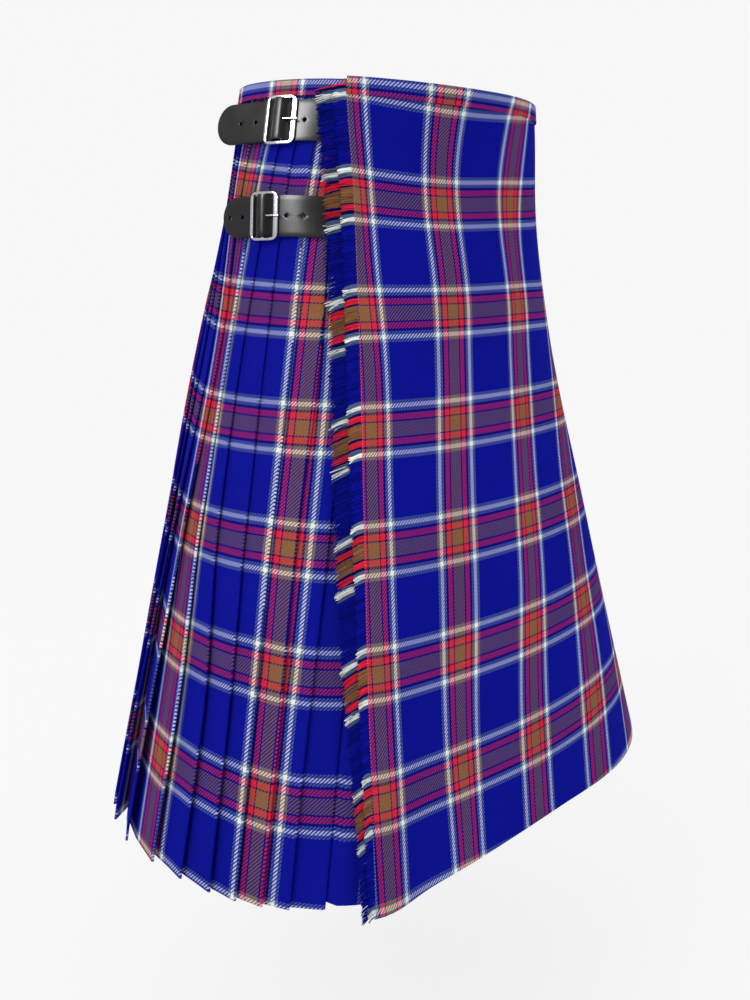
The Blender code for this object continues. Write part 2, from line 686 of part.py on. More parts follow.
def add_buckle(collection, row):
    """Frame with a centre bar, cut from plate, its edges eased."""
    values = dict(zip(FITTING_COLUMNS, row))
    name = "buckle_" + values["name"]
    curve = bpy.data.curves.new(name, "CURVE")
    curve.dimensions = "2D"
    curve.fill_mode = "BOTH"
    curve.bevel_depth = FRAME_EASE
    curve.bevel_resolution = 1
    curve.extrude = FRAME_THICK / 2 - FRAME_EASE
    half_w, half_h = FRAME_WIDTH / 2 - FRAME_EASE, FRAME_HEIGHT / 2 - FRAME_EASE
    bar = CENTRE_BAR / 2 - FRAME_EASE
    inner = half_h - FRAME_RAIL + 2 * FRAME_EASE
    rounded_outline(curve, -half_w, half_w, half_h, FRAME_CORNER, 6)
    rounded_outline(curve, bar, half_w - FRONT_BAR + 2 * FRAME_EASE, inner, WINDOW_CORNER, 3)
    rounded_outline(curve, -half_w + BACK_BAR - 2 * FRAME_EASE, -bar, inner, WINDOW_CORNER, 3)
    mesh = curve_mesh(curve, name)
    for vertex in mesh.vertices:
        vertex.co.z += FRAME_Z + FRAME_TILT * vertex.co.x
    wrap(mesh, values["along"], values["angle"])
    add_mesh_object(name, mesh, collection, "buckle_metal")


def add_prong(collection, row):
    """Round wire: a ring round the centre bar, then straight onto the front bar."""
    values = dict(zip(FITTING_COLUMNS, row))
    name = "prong_" + values["name"]
    curve = bpy.data.curves.new(name, "CURVE")
    curve.dimensions = "3D"
    curve.bevel_depth = PRONG_RADIUS
    curve.bevel_resolution = 2
    curve.use_fill_caps = True
    reach_x = CENTRE_BAR / 2 + PRONG_AIR + PRONG_RADIUS
    reach_z = FRAME_THICK / 2 + PRONG_AIR + PRONG_RADIUS
    path = []
    for k in range(RING_STEPS + 1):
        turn = math.radians(RING_FROM + RING_TURN * k / RING_STEPS)
        path.append((reach_x * math.cos(turn), FRAME_Z + reach_z * math.sin(turn)))
    path += [(x * MM, z * MM) for x, z in PRONG_PATH]
    spline = curve.splines.new("POLY")
    spline.points.add(len(path) - 1)
    for point, (x, z) in zip(spline.points, path):
        point.co = (x, 0.0, z, 1.0)
    mesh = curve_mesh(curve, name)
    wrap(mesh, values["along"], values["angle"])
    add_mesh_object(name, mesh, collection, "prong_metal")


# ---------------------------------------------------------------- the whole kilt
def main():
    for obj in list(bpy.data.objects):
        bpy.data.objects.remove(obj)
    kilt = new_collection("kilt")
    cutters = new_collection("cutters")
    add_cloth(kilt)
    add_waistband(kilt)
    add_fringe(kilt, FRINGES[0], "fringe_yarn")
    add_fringe(kilt, FRINGES[1], "fringe_back")
    for row in FITTINGS:
        add_strap(kilt, cutters, row)
        add_tab(kilt, cutters, row)
        add_buckle(kilt, row)
        add_prong(kilt, row)


main()
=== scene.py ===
"""Scottish kilt: tartan cloth, fringe, leather straps and chrome buckles, dressed on its solids.

Metres, +Z up. The wearer faces -Y, so the wearer's right hand is at -X. The origin is the middle
of the waist. Angles are seen from above: 0 is the front centre, 90 the wearer's right side,
180 the back centre, and they keep growing where the cloth passes the front again.
"""

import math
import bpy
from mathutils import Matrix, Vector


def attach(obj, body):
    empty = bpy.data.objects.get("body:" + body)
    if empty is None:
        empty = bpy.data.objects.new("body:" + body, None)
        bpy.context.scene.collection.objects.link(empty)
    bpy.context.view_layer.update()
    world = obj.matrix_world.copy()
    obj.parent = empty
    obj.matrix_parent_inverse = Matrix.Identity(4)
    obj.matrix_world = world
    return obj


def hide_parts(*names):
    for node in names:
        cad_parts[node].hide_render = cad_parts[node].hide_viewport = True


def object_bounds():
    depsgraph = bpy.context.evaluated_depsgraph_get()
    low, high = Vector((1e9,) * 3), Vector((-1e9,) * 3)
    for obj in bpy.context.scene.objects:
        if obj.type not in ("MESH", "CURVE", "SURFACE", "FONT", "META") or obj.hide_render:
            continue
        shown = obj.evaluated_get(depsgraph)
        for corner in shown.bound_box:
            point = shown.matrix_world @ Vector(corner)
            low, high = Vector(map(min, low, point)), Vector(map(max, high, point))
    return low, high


bl_info = {
    "name": "Scottish Kilt",
    "version": (1, 0, 0),
    "blender": (4, 5, 0),
    "location": "View3D > Sidebar > Kilt",
    "description": "Makes a pleated tartan kilt with its fringe, straps and buckles",
    "category": "Add Mesh",
}

import bmesh
import bpy
import numpy as np
from bpy.props import FloatProperty, FloatVectorProperty, IntProperty, PointerProperty
from bpy.types import Operator, Panel, PropertyGroup
from mathutils import Matrix, Vector

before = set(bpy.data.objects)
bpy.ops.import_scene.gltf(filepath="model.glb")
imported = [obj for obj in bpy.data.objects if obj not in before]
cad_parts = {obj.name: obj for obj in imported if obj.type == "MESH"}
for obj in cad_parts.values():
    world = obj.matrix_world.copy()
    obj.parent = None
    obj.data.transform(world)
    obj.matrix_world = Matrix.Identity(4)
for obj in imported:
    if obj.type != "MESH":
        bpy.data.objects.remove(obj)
CAD_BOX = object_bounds()

MM = 0.001


def columns(names, rows):
    """A table's columns by their names."""
    return dict(zip(names, zip(*rows)))


# ---------------- sizes shared with the solids
LENGTH = 0.645
CLOTH = 1.0 * MM
PITCH = 1.25 * MM           # one folded layer and its air: the cloth lies closer than its solids
FRONT_DIP = 0.0055
RIGHT_DIP = 0.0070

PLAN = columns(("along", "half_width", "front", "back", "front_square", "back_square"), (
    (0.000, 0.1550, 0.1150, 0.0780, 2.05, 2.25),
    (0.080, 0.1681, 0.0940, 0.1010, 2.85, 2.05),
    (0.195, 0.1754, 0.1204, 0.1515, 2.65, 2.30),
    (0.390, 0.2196, 0.1675, 0.1951, 2.56, 2.05),
    (0.645, 0.2856, 0.2199, 0.1990, 2.75, 2.05),
))
HOLLOW = 6.9 * MM
HOLLOW_AT = 25.0
HOLLOW_WIDTH = 17.0
HEM_RISE = 11.0 * MM
HEM_RISE_WIDTH = 28.6
HEM_RISE_FROM = 0.400
FLARE = 20.0 * MM
FLARE_WIDTH = 38.0 * MM
FLARE_FROM = 0.15
UNDER_FLARE = 0.6
FRINGE_EDGE = columns(("along", "angle"), (
    (0.000, 60.2), (0.090, 57.4), (0.200, 54.3), (0.350, 51.7), (0.500, 50.0), (0.645, 48.5),
))

# Angles of the first nine folds, level by level. The others are spread evenly to the last one.
FOLD_LEVELS = (0.0, 0.09, 0.20, 0.35, 0.50, 0.645)
FOLDS = (
    (49.9, 49.6, 50.1, 51.8, 53.8, 55.0),
    (55.6, 56.1, 56.8, 58.3, 59.8, 60.5),
    (61.1, 62.7, 63.7, 65.3, 65.1, 64.8),
    (66.3, 69.2, 71.6, 71.7, 70.3, 69.3),
    (71.1, 75.5, 80.3, 78.8, 75.9, 74.2),
    (75.5, 81.4, 89.3, 87.7, 82.2, 80.5),
    (80.6, 87.1, 95.2, 94.1, 89.5, 87.7),
    (86.6, 93.5, 99.8, 100.9, 99.0, 96.1),
    (93.1, 99.8, 105.1, 107.6, 107.0, 103.7),
)
# Pattern position at those folds, in millimetres; from the last one it moves on evenly.
FOLD_MARKS = (
    (58.0, 58.0, 58.0, 58.0, 58.0, 58.0),
    (32.9, 32.9, 32.9, 32.9, 32.9, 32.5),
    (-12.6, -2.5, 7.1, 6.5, 7.5, 9.0),
    (-26.4, -22.9, -17.4, -17.9, -16.4, -16.7),
    (-40.0, -38.0, -32.0, -30.0, -32.0, -32.0),
    (-63.1, -60.9, -57.0, -53.4, -43.1, -42.0),
    (-77.1, -77.6, -75.1, -76.6, -75.1, -79.1),
    (-99.7, -99.7, -102.7, -107.7, -115.7, -118.7),
    (-122.0, -122.0, -122.0, -122.0, -122.0, -122.0),
)
UNDER_EDGE = -55.0
LAST_FOLD = 265.0
OVER_OUT = 0.5 * MM
CREST_OUT = -4.8 * MM
UNDER_OUT = -5.3 * MM
STRAP_AIR = 0.3 * MM

PLEATS = 34
HIDDEN = 0.72               # cloth behind a pleat, as a share of what it shows
STITCHED = 0.19             # the pleats are sewn flat down to here
LIFTS = columns(("angle", "lift"), (
    (50.0, 2.0 * MM), (80.0, 4.0 * MM), (105.0, 9.0 * MM), (125.0, 9.0 * MM), (180.0, 6.0 * MM),
    (230.0, 5.0 * MM), (270.0, 1.5 * MM),
))
LIFT_WHOLE = 0.74           # they would stand off by their whole lift here, below the hem
OVER_TUCK = 14.0 * MM       # cloth folded back at the over apron's own fold
UNDER_SHORT = 5.0 * MM      # the under apron ends this much above the hem
UNDER_BEND = 9.0 * MM       # it bends down this far before the first pleat's edge
BAND_DEPTH = 13.5 * MM
BAND_CROWN = 1.6 * MM
BAND_SHORT = 0.4            # degrees of the edge that the band leaves free
BAND_LEGS = columns(("angle", "outer", "inner"), (
    (UNDER_EDGE, -3.7 * MM, -7.3 * MM),
    (33.0, -3.7 * MM, -7.3 * MM),
    (41.0, -3.4 * MM, -13.2 * MM),
    (48.0, -2.8 * MM, -13.2 * MM),
    (253.0, -2.8 * MM, -13.2 * MM),
    (261.5, 2.1 * MM, -13.2 * MM),
    (273.0, 2.1 * MM, -13.2 * MM),
    (290.0, 2.1 * MM, -1.1 * MM),
    (422.0, 2.1 * MM, -1.1 * MM),
))

# ---------------- the cloth's pattern
SETT = 0.094                # one repeat of the tartan
MIX_POWER = 4.0             # crossing yarns are averaged in light to the power of 1 over this
WARP_BIAS = 0.04            # the warp shows this much more than half
THREAD_SHADE = 0.12         # painted shade: a thread's sides are painted this much darker than its middle
CLOTH_TONE = 0.94           # the cloth's tone, and how much fine and wide noise changes it
FINE_TONE = 0.07
WIDE_TONE = 0.05
YARN_GLOSS = 0.01
TWILL_STEPS = 4
# Where each colour starts, in repeats from the middle of a band.
SETT_STOPS = (
    (0.0, "brown"), (0.063, "navy"), (0.078, "red"), (0.129, "navy"),
    (0.153, "pale"), (0.183, "white"), (0.220, "pale"), (0.250, "blue"),
)
# Where the white lines cross the over apron, as distances from its fringed edge.
STRIPES = columns(("along", "first", "second", "third", "fourth", "fifth", "sixth", "seventh"), (
    (0.000, 0.0148, 0.0702, 0.1087, 0.1703, 0.2091, 0.2672, 0.3057),
    (0.056, 0.0158, 0.0711, 0.1097, 0.1715, 0.2103, 0.2684, 0.3070),
    (0.141, 0.0180, 0.0746, 0.1143, 0.1748, 0.2073, 0.2652, 0.3030),
    (0.230, 0.0223, 0.0729, 0.1088, 0.1669, 0.1980, 0.2560, 0.2920),
    (0.330, 0.0221, 0.0705, 0.1062, 0.1638, 0.1947, 0.2450, 0.2830),
    (0.430, 0.0225, 0.0714, 0.1076, 0.1651, 0.1985, 0.2528, 0.2874),
    (0.530, 0.0240, 0.0733, 0.1070, 0.1630, 0.1985, 0.2590, 0.3040),
    (0.645, 0.0270, 0.0818, 0.1137, 0.1690, 0.2045, 0.2655, 0.3115),
))
WHITE_LINE = 0.2015         # a white line's distance from the middle of its band, in repeats
ROW_SETT = 0.0969           # one repeat crosswise, stretched a little as the cloth hangs
ROW_START = 0.0783          # middle of the first full crosswise band, down from the waist level
ROW_FRONT = 0.0246
ROW_RIGHT = 0.0109
PLEAT_STEP = 0.0188         # how far the pattern moves on from one pleat to the next at the back
EDGE_CROWD = 0.72           # the pattern is crowded this much along the fringed edge
# The pleats' rows hang a little higher or lower at the right hip, in millimetres.
SETTLE = columns(("along", "front", "side"), (
    (0.000, -3.0, -7.0), (0.058, -2.1, -5.8), (0.155, 1.5, -0.5), (0.250, 3.9, 2.6),
    (0.350, 1.4, 3.2), (0.445, -2.5, 1.5), (0.580, -4.9, -1.0), (0.645, -5.5, -1.5),
))
SETTLE_FRONT = 57.0         # the first column holds up to here,
SETTLE_SIDE = 73.0          # the second from here,
SETTLE_END = 105.0          # and neither from here
BAND_BROWN = 0.1815         # the waistband's brown stripe at the buckled side
BAND_CROWD = 1.36           # its pattern is crowded there by this much
BAND_WHITE = 4.6 * MM       # and its white line lies this far below the crown

# ---------------- how finely things are made
CLOTH_TOP = 1.8 * MM        # the cloth starts this far down, under the waistband's crown
CLOTH_CREASE = 62.0
APRON_ROWS = 74
APRON_STEPS = 92
UNDER_STEPS = 70
PLEAT_ROWS = 60
BAND_STEPS = 240
NODES_IN_ROW = 8            # how the node trees are laid out in the editor
NODE_WIDTH = 200.0
NODE_HEIGHT = 320.0


# ---------------- the surface everything lies on
def smooth(x, xs, ys):
    """Read a smooth curve through a table's points."""
    slopes = np.gradient(np.array(ys, float), np.array(xs, float))
    x = np.clip(x, xs[0], xs[-1])
    i = np.clip(np.searchsorted(xs, x, side="right") - 1, 0, len(xs) - 2)
    xs, ys = np.array(xs), np.array(ys)
    step = xs[i + 1] - xs[i]
    t = (x - xs[i]) / step
    start = (2 * t**3 - 3 * t**2 + 1) * ys[i] + (t**3 - 2 * t**2 + t) * step * slopes[i]
    end = (3 * t**2 - 2 * t**3) * ys[i + 1] + (t**3 - t**2) * step * slopes[i + 1]
    return start + end


def ease(x, low, high):
    """Rise smoothly from 0 to 1 between two values."""
    t = np.clip((x - low) / (high - low), 0.0, 1.0)
    return t * t * (3 - 2 * t)


def hump(angle, middle, width):
    """1 at an angle, fading to 0 on both sides of it. Angle in radians, the others in degrees."""
    off = np.degrees(angle) - middle
    return np.exp(-(((off + 180.0) % 360.0 - 180.0) / width) ** 2)


def plan_radius(angle, along):
    """Distance from the middle to the surface; the plan's shape changes on the way down."""
    read = {name: smooth(along, PLAN["along"], values) for name, values in PLAN.items()}
    ahead = np.cos(angle) > 0
    depth = np.where(ahead, read["front"], read["back"])
    power = np.where(ahead, read["front_square"], read["back_square"])
    across = np.abs(np.sin(angle)) / read["half_width"]
    deep = np.abs(np.cos(angle)) / depth
    hollow = HOLLOW * np.clip(along / LENGTH, 0.0, 1.0) ** 2 * hump(angle, HOLLOW_AT, HOLLOW_WIDTH)
    return (across**power + deep**power) ** (-1 / power) - hollow


ANGLES = np.radians(np.arange(-80.0, 441.0, 1.0))
NET_STEP = 0.008
NET_LEVELS = np.arange(-2 * NET_STEP, LENGTH + 3 * NET_STEP, NET_STEP)


def sag(angle, along, front, right):
    """A sag in front and at the right, strongest at the waist and gone at the hem."""
    share = 1 - np.clip(along / LENGTH, 0.0, 1.0)
    return (front * np.cos(angle) + right * np.sin(angle)) * share**2


def dip(angle, along):
    """How far down the cloth a point lies from the level of the waist at the hips."""
    return along + sag(angle, along, FRONT_DIP, RIGHT_DIP)


def cloth_row(angle, along):
    """Crosswise pattern position of a point."""
    return dip(angle, along) - sag(angle, along, ROW_FRONT, ROW_RIGHT)


def pleat_row(angle, along):
    """The same on the pleated cloth and the under apron."""
    front, side = (smooth(along, SETTLE["along"], SETTLE[name]) for name in ("front", "side"))
    degrees = np.degrees(angle)
    nearer = np.interp(degrees, (SETTLE_FRONT, SETTLE_SIDE), (1.0, 0.0))
    fade = np.interp(degrees, (SETTLE_SIDE, SETTLE_END), (1.0, 0.0))
    return cloth_row(angle, along) + (front * nearer + side * (1 - nearer)) * fade * MM


def surface_net():
    """Points and normals of the kilt's surface, level by level."""
    step, margin = 0.004, 0.05
    alongs = np.arange(-margin, LENGTH + margin, step)
    radius = np.array([plan_radius(ANGLES, np.full_like(ANGLES, along)) for along in alongs])
    fall = np.sqrt(1.0 - np.gradient(radius, step, axis=0) ** 2)
    height = -np.cumsum(fall * step, axis=0)
    height -= np.array([np.interp(0.0, alongs, height[:, k]) for k in range(len(ANGLES))])
    points = []
    for along in NET_LEVELS:
        at = dip(ANGLES, along)
        r, z = (
            np.array([np.interp(at[k], alongs, values[:, k]) for k in range(len(ANGLES))])
            for values in (radius, height)
        )
        points.append(np.stack([-r * np.sin(ANGLES), -r * np.cos(ANGLES), z], axis=1))
    points = np.array(points)
    normals = np.cross(np.gradient(points, axis=1), np.gradient(points, axis=0))
    return points, normals / np.linalg.norm(normals, axis=2, keepdims=True)


POINTS, NORMALS = surface_net()


def place(angle, along, out):
    """Points at a height off the surface, for arrays of angles, distances down and heights."""
    angle, along, out = np.broadcast_arrays(np.asarray(angle, float), along, out)
    down = np.clip((along - NET_LEVELS[0]) / NET_STEP, 0.0, len(NET_LEVELS) - 1.001)
    turn = np.clip((angle - ANGLES[0]) / (ANGLES[1] - ANGLES[0]), 0.0, len(ANGLES) - 1.001)
    row, side = down.astype(int), turn.astype(int)
    down, turn = (down - row)[..., None], (turn - side)[..., None]
    total = 0.0
    for add_row, row_share in ((0, 1 - down), (1, down)):
        for add_side, side_share in ((0, 1 - turn), (1, turn)):
            point = POINTS[row + add_row, side + add_side]
            normal = NORMALS[row + add_row, side + add_side]
            total = total + row_share * side_share * (point + out[..., None] * normal)
    return total


def path_lengths(points):
    """Distance from a path's start to each of its points."""
    return np.concatenate([[0.0], np.cumsum(np.linalg.norm(np.diff(points, axis=0), axis=1))])


class Level:
    """One level line round the kilt, measured in metres of cloth from the front centre."""

    def __init__(self, along):
        self.along = along
        self.arcs = path_lengths(place(ANGLES, along, 0.0))
        self.arcs -= np.interp(0.0, ANGLES, self.arcs)
        self.turn = self.around(360.0)
        self.edge = self.around(edge_angle(along))

    def around(self, degrees):
        return np.interp(np.radians(degrees), ANGLES, self.arcs)

    def angle(self, around):
        return np.interp(around, self.arcs, ANGLES)


def edge_angle(along):
    """Where the over apron's fringed edge lies."""
    return smooth(along, FRINGE_EDGE["along"], FRINGE_EDGE["angle"])


# ---------------- where the pattern lies
def apron_stripe(level, distance):
    """Pattern position across the over apron, from the distance to its fringed edge."""
    alongs, *stripes = STRIPES.values()
    lines = [smooth(level.along, alongs, stripe) for stripe in stripes]
    marks = [(k // 2 + k % 2 + WHITE_LINE * (1 - 2 * (k % 2))) * SETT for k in range(-1, 16)]
    inner = lines[0] - 2 * WHITE_LINE * SETT * EDGE_CROWD
    lines = [inner] + lines + [lines[-1] + mark - marks[7] for mark in marks[8:]]
    return smooth(distance, lines, marks)


def pleat_stripe(level, index):
    """Pattern position at a pleat's edge."""
    tabled = min(index, len(FOLD_MARKS) - 1)
    return smooth(level.along, FOLD_LEVELS, FOLD_MARKS[tabled]) * MM - (index - tabled) * PLEAT_STEP


# ---------------- sections of the cloth
def fold_nose(at, out, mark, points=5):
    """The rounded edge of a fold: lower layer, edge, upper layer."""
    path = []
    for k in range(points):
        turn = math.pi * k / (points - 1)
        path.append((at - PITCH / 2 * math.sin(turn), out - PITCH / 2 * (1 + math.cos(turn)), mark))
    return path


def fold_lines(level):
    """Where each fold's edge lies round a level, the over apron's own fold last."""
    tabled = [level.around(smooth(level.along, FOLD_LEVELS, angles)) for angles in FOLDS]
    last, rest = level.around(LAST_FOLD), PLEATS - len(FOLDS) + 1
    return tabled + [tabled[-1] + (last - tabled[-1]) * k / rest for k in range(1, rest + 1)]


def fold_lift(level, at):
    """How far a fold's edge stands off the ones behind it."""
    lift = smooth(math.degrees(level.angle(at)), LIFTS["angle"], LIFTS["lift"])
    return lift * ease(level.along, STITCHED, LIFT_WHOLE)


def pleat_section(level):
    """The cloth's path through every knife pleat: around, out, pattern position."""
    folds = fold_lines(level)
    shown = [following - at for at, following in zip(folds, folds[1:])]
    low = CREST_OUT - 2 * PITCH * (1 + HIDDEN)
    path = [(folds[0] + HIDDEN * shown[0], low + PITCH, pleat_stripe(level, 0) + HIDDEN * shown[0])]
    for index, at in enumerate(folds[:-1]):
        lift = fold_lift(level, at)
        mark = pleat_stripe(level, index)
        reveal = shown[index]
        hidden = HIDDEN * min(shown[index:index + 2])
        end = at + reveal + hidden
        path += fold_nose(at, CREST_OUT + lift, mark)
        for share in (0.12, 0.3, 0.5, 0.7, 0.88, 1.0):
            rest = (1 - share) ** 2 * lift
            path.append((at + share * reveal, CREST_OUT - 2 * PITCH * share + rest, mark - share * reveal))
        path.append((end, low, mark - reveal - hidden))
        if index < PLEATS - 1:
            following = pleat_stripe(level, index + 1) + hidden
            path.append((end + PITCH / 2, low + PITCH / 2, (mark - reveal - hidden, following)))
            path.append((end, low + PITCH, following))
    return path


def apron_flare(level, around):
    """How far the fringed edge swings out from the cloth under it."""
    from_edge = level.edge - around
    return FLARE * ease(level.along, FLARE_FROM, LENGTH) * np.exp(-(from_edge / FLARE_WIDTH) ** 2)


def over_section(level):
    """Over apron: its own fold at the left hip, then across the front to the fringed edge."""
    start = level.around(LAST_FOLD)
    end = level.turn + level.edge

    def mark(at):
        return apron_stripe(level, end - at)

    path = [(start + tuck, OVER_OUT - PITCH, mark(start) + tuck) for tuck in (OVER_TUCK, OVER_TUCK / 2)]
    path += fold_nose(start, OVER_OUT, mark(start))
    for k in range(1, APRON_STEPS + 1):
        at = start + (end - start) * k / APRON_STEPS
        path.append((at, OVER_OUT + apron_flare(level, at - level.turn), mark(at)))
    return path


def under_section(level):
    """Under apron: plain in front, then down behind the first pleat."""
    folds = fold_lines(level)
    tuck = HIDDEN * (folds[1] - folds[0])
    start, bend = level.around(UNDER_EDGE), folds[0] - UNDER_BEND
    zero = folds[0] - 0.5 * SETT
    path = []
    for k in range(UNDER_STEPS + 1):
        at = start + (bend - start) * k / UNDER_STEPS
        path.append((at, UNDER_OUT + UNDER_FLARE * apron_flare(level, at), zero - at))
    for at, layers in ((folds[0], 1), (folds[0] + tuck, 1 + HIDDEN)):
        path.append((at, CREST_OUT - 2 * PITCH * layers, zero - at))
    return path


def band_leg(degrees, side):
    return np.interp(degrees, BAND_LEGS["angle"], BAND_LEGS[side])


def band_section(degrees):
    """The waistband's path over the cloth's top edge: outer leg, crown, inner leg."""
    outer, inner = band_leg(degrees, "outer"), band_leg(degrees, "inner")
    middle, half = (outer + inner) / 2, (outer - inner) / 2
    rise = min(half, BAND_CROWN)
    path = [(BAND_DEPTH - share * (BAND_DEPTH - BAND_CROWN), outer) for share in (0.0, 0.3, 0.6, 0.85, 1.0)]
    for k in range(1, 6):
        turn = math.pi * k / 6
        path.append((BAND_CROWN - rise * math.sin(turn), middle + half * math.cos(turn)))
    path += [(BAND_CROWN, inner), (0.5 * BAND_DEPTH, inner), (BAND_DEPTH, inner)]
    return place(math.radians(degrees), *np.array(path).T)


# ---------------- mesh helpers
def link(name, data):
    obj = bpy.data.objects.new(name, data)
    bpy.context.scene.collection.objects.link(obj)
    return obj


def plain_mesh(obj, name):
    """The object's mesh with its modifiers applied, as a new object at the origin."""
    graph = bpy.context.evaluated_depsgraph_get()
    mesh = bpy.data.meshes.new_from_object(obj.evaluated_get(graph))
    bpy.data.objects.remove(obj)
    mesh.name = name
    return link(name, mesh)


def finish_piece(obj, material, node=None):
    """Give a piece its finish, let it ride on the kilt, and hide the solid it stands for."""
    obj.data.materials.clear()
    obj.data.materials.append(material)
    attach(obj, "root")
    if node:
        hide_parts(node)


def assign(thing, **values):
    """Set some of a thing's properties, and return it."""
    for key, value in values.items():
        setattr(thing, key, value)
    return thing


def add_modifier(obj, name, kind, **values):
    return assign(obj.modifiers.new(name, kind), **values)


def add_wall(obj, thickness):
    """Give a thin sheet its thickness, half on each side."""
    add_modifier(obj, "wall", "SOLIDIFY", thickness=thickness, offset=0.0, use_even_offset=True)


def cell_corners(left, right):
    """Values at the corners of a grid's cells, as seen from each point's left and right."""
    return np.stack([left[:-1, :-1], right[:-1, 1:], right[1:, 1:], left[1:, :-1]], axis=-1)


def sheet_mesh(name, points, marks, downs):
    """A cloth sheet from a grid of points, with its pattern position in a UV map.

    points is rows x columns x 3. marks holds the pattern position of each point as seen from its
    left and from its right, so that it may jump at a hidden fold.
    """
    rows, columns_count = points.shape[:2]
    index = np.arange(rows * columns_count).reshape(rows, columns_count)
    mesh = bpy.data.meshes.new(name)
    mesh.from_pydata(points.reshape(-1, 3).tolist(), [], cell_corners(index, index).reshape(-1, 4).tolist())
    u, v = cell_corners(marks[..., 1], marks[..., 0]), cell_corners(downs, downs)
    mesh.uv_layers.new(name="cloth").data.foreach_set("uv", np.stack([u, v], axis=-1).reshape(-1))
    mesh.shade_smooth()
    obj = link(name + "_sheet", mesh)
    add_wall(obj, CLOTH)
    piece = plain_mesh(obj, name)
    piece.data.set_sharp_from_angle(angle=math.radians(CLOTH_CREASE))
    return piece


def sheet_from_sections(name, alongs, section, rise, row):
    """Loft a sheet from one section for each distance down the cloth.

    rise is how much higher the hem is cut at the front centre, and row gives the crosswise pattern.
    """
    points, marks, downs = [], [], []
    for along in alongs:
        level = Level(along)
        arounds, outs, crossing = zip(*section(level))
        angle = level.angle(np.array(arounds))
        cut_away = rise * ease(along, HEM_RISE_FROM, LENGTH) * hump(angle, 0.0, HEM_RISE_WIDTH)
        points.append(place(angle, along - cut_away, np.array(outs)))
        marks.append([mark if isinstance(mark, tuple) else (mark, mark) for mark in crossing])
        downs.append(row(angle, along - cut_away))
    return sheet_mesh(name, np.array(points), np.array(marks), np.array(downs))


# ---------------- node tree helpers
def feed(tree, socket, value):
    """Link an input to an output, or set its value."""
    if isinstance(value, bpy.types.NodeSocket):
        tree.links.new(value, socket)
    else:
        socket.default_value = value


def add_node(tree, kind, inputs=None, **values):
    """Add a node with its settings and inputs, beside the one before it."""
    node = assign(tree.nodes.new(kind), **values)
    row, place_in_row = divmod(len(tree.nodes), NODES_IN_ROW)
    node.location = ((place_in_row - NODES_IN_ROW) * NODE_WIDTH, -row * NODE_HEIGHT)
    for name, value in (inputs or {}).items():
        feed(tree, node.inputs[name], value)
    return node


def math_chain(tree, value, *steps):
    """Take a value through one sum after another."""
    for operation, *others in steps:
        inputs = dict(enumerate([value, *others]))
        value = add_node(tree, "ShaderNodeMath", inputs, operation=operation).outputs[0]
    return value


def mix_node(tree, share, first, second, kind="RGBA", **values):
    inputs = {"Factor": share, "A": first, "B": second}
    return add_node(tree, "ShaderNodeMix", inputs, data_type=kind, **values).outputs["Result"]


def noise(tree, vector, scale, detail=2.0):
    inputs = {"Vector": vector, "Scale": scale, "Detail": detail}
    return add_node(tree, "ShaderNodeTexNoise", inputs).outputs["Fac"]


def bump(tree, shader, height, strength, distance):
    inputs = {"Strength": strength, "Distance": distance, "Height": height}
    feed(tree, shader.inputs["Normal"], add_node(tree, "ShaderNodeBump", inputs).outputs["Normal"])


def two_tone(tree, shader, share, dark, light):
    feed(tree, shader.inputs["Base Color"], mix_node(tree, share, (*dark, 1.0), (*light, 1.0)))


def principled(name, roughness, metallic=0.0, specular=0.5):
    material = bpy.data.materials.new(name)
    material.use_nodes = True
    shader = material.node_tree.nodes["Principled BSDF"]
    for key, value in (("Roughness", roughness), ("Metallic", metallic), ("Specular IOR Level", specular)):
        shader.inputs[key].default_value = value
    return material, material.node_tree, shader


def object_spot(tree):
    return add_node(tree, "ShaderNodeTexCoord").outputs["Object"]


# ---------------- materials
def mix_value(colour):
    """A display colour in the space that yarns are averaged in."""
    light = [value / 12.92 if value <= 0.04045 else ((value + 0.055) / 1.055) ** 2.4 for value in colour]
    return (*[value ** (1 / MIX_POWER) for value in light], 1.0)


def stripe_colour(tree, position, start, sett, settings):
    """The sett's colour at a position, ready to be mixed with that of a crossing yarn."""
    off = math_chain(
        tree, position, ("SUBTRACT", start), ("DIVIDE", sett), ("ADD", 0.5), ("FRACT",), ("SUBTRACT", 0.5),
        ("ABSOLUTE",), ("MULTIPLY", 2.0),
    )
    ramp = add_node(tree, "ShaderNodeValToRGB", {"Fac": off})
    ramp.color_ramp.interpolation = "CONSTANT"
    elements = ramp.color_ramp.elements
    while len(elements) < len(SETT_STOPS):
        elements.new(1.0)
    for element, (where, name) in zip(elements, SETT_STOPS):
        element.position = where * 2
        element.color = mix_value(getattr(settings, name))
    return ramp.outputs["Color"]


def colour_yarn(tree, shader, colour, tone):
    """Darken a mixed yarn colour by its tone, and turn it back into light."""
    toned = mix_node(tree, 1.0, colour, tone, blend_type="MULTIPLY")
    gamma = add_node(tree, "ShaderNodeGamma", {"Color": toned, "Gamma": MIX_POWER})
    feed(tree, shader.inputs["Base Color"], gamma.outputs["Color"])


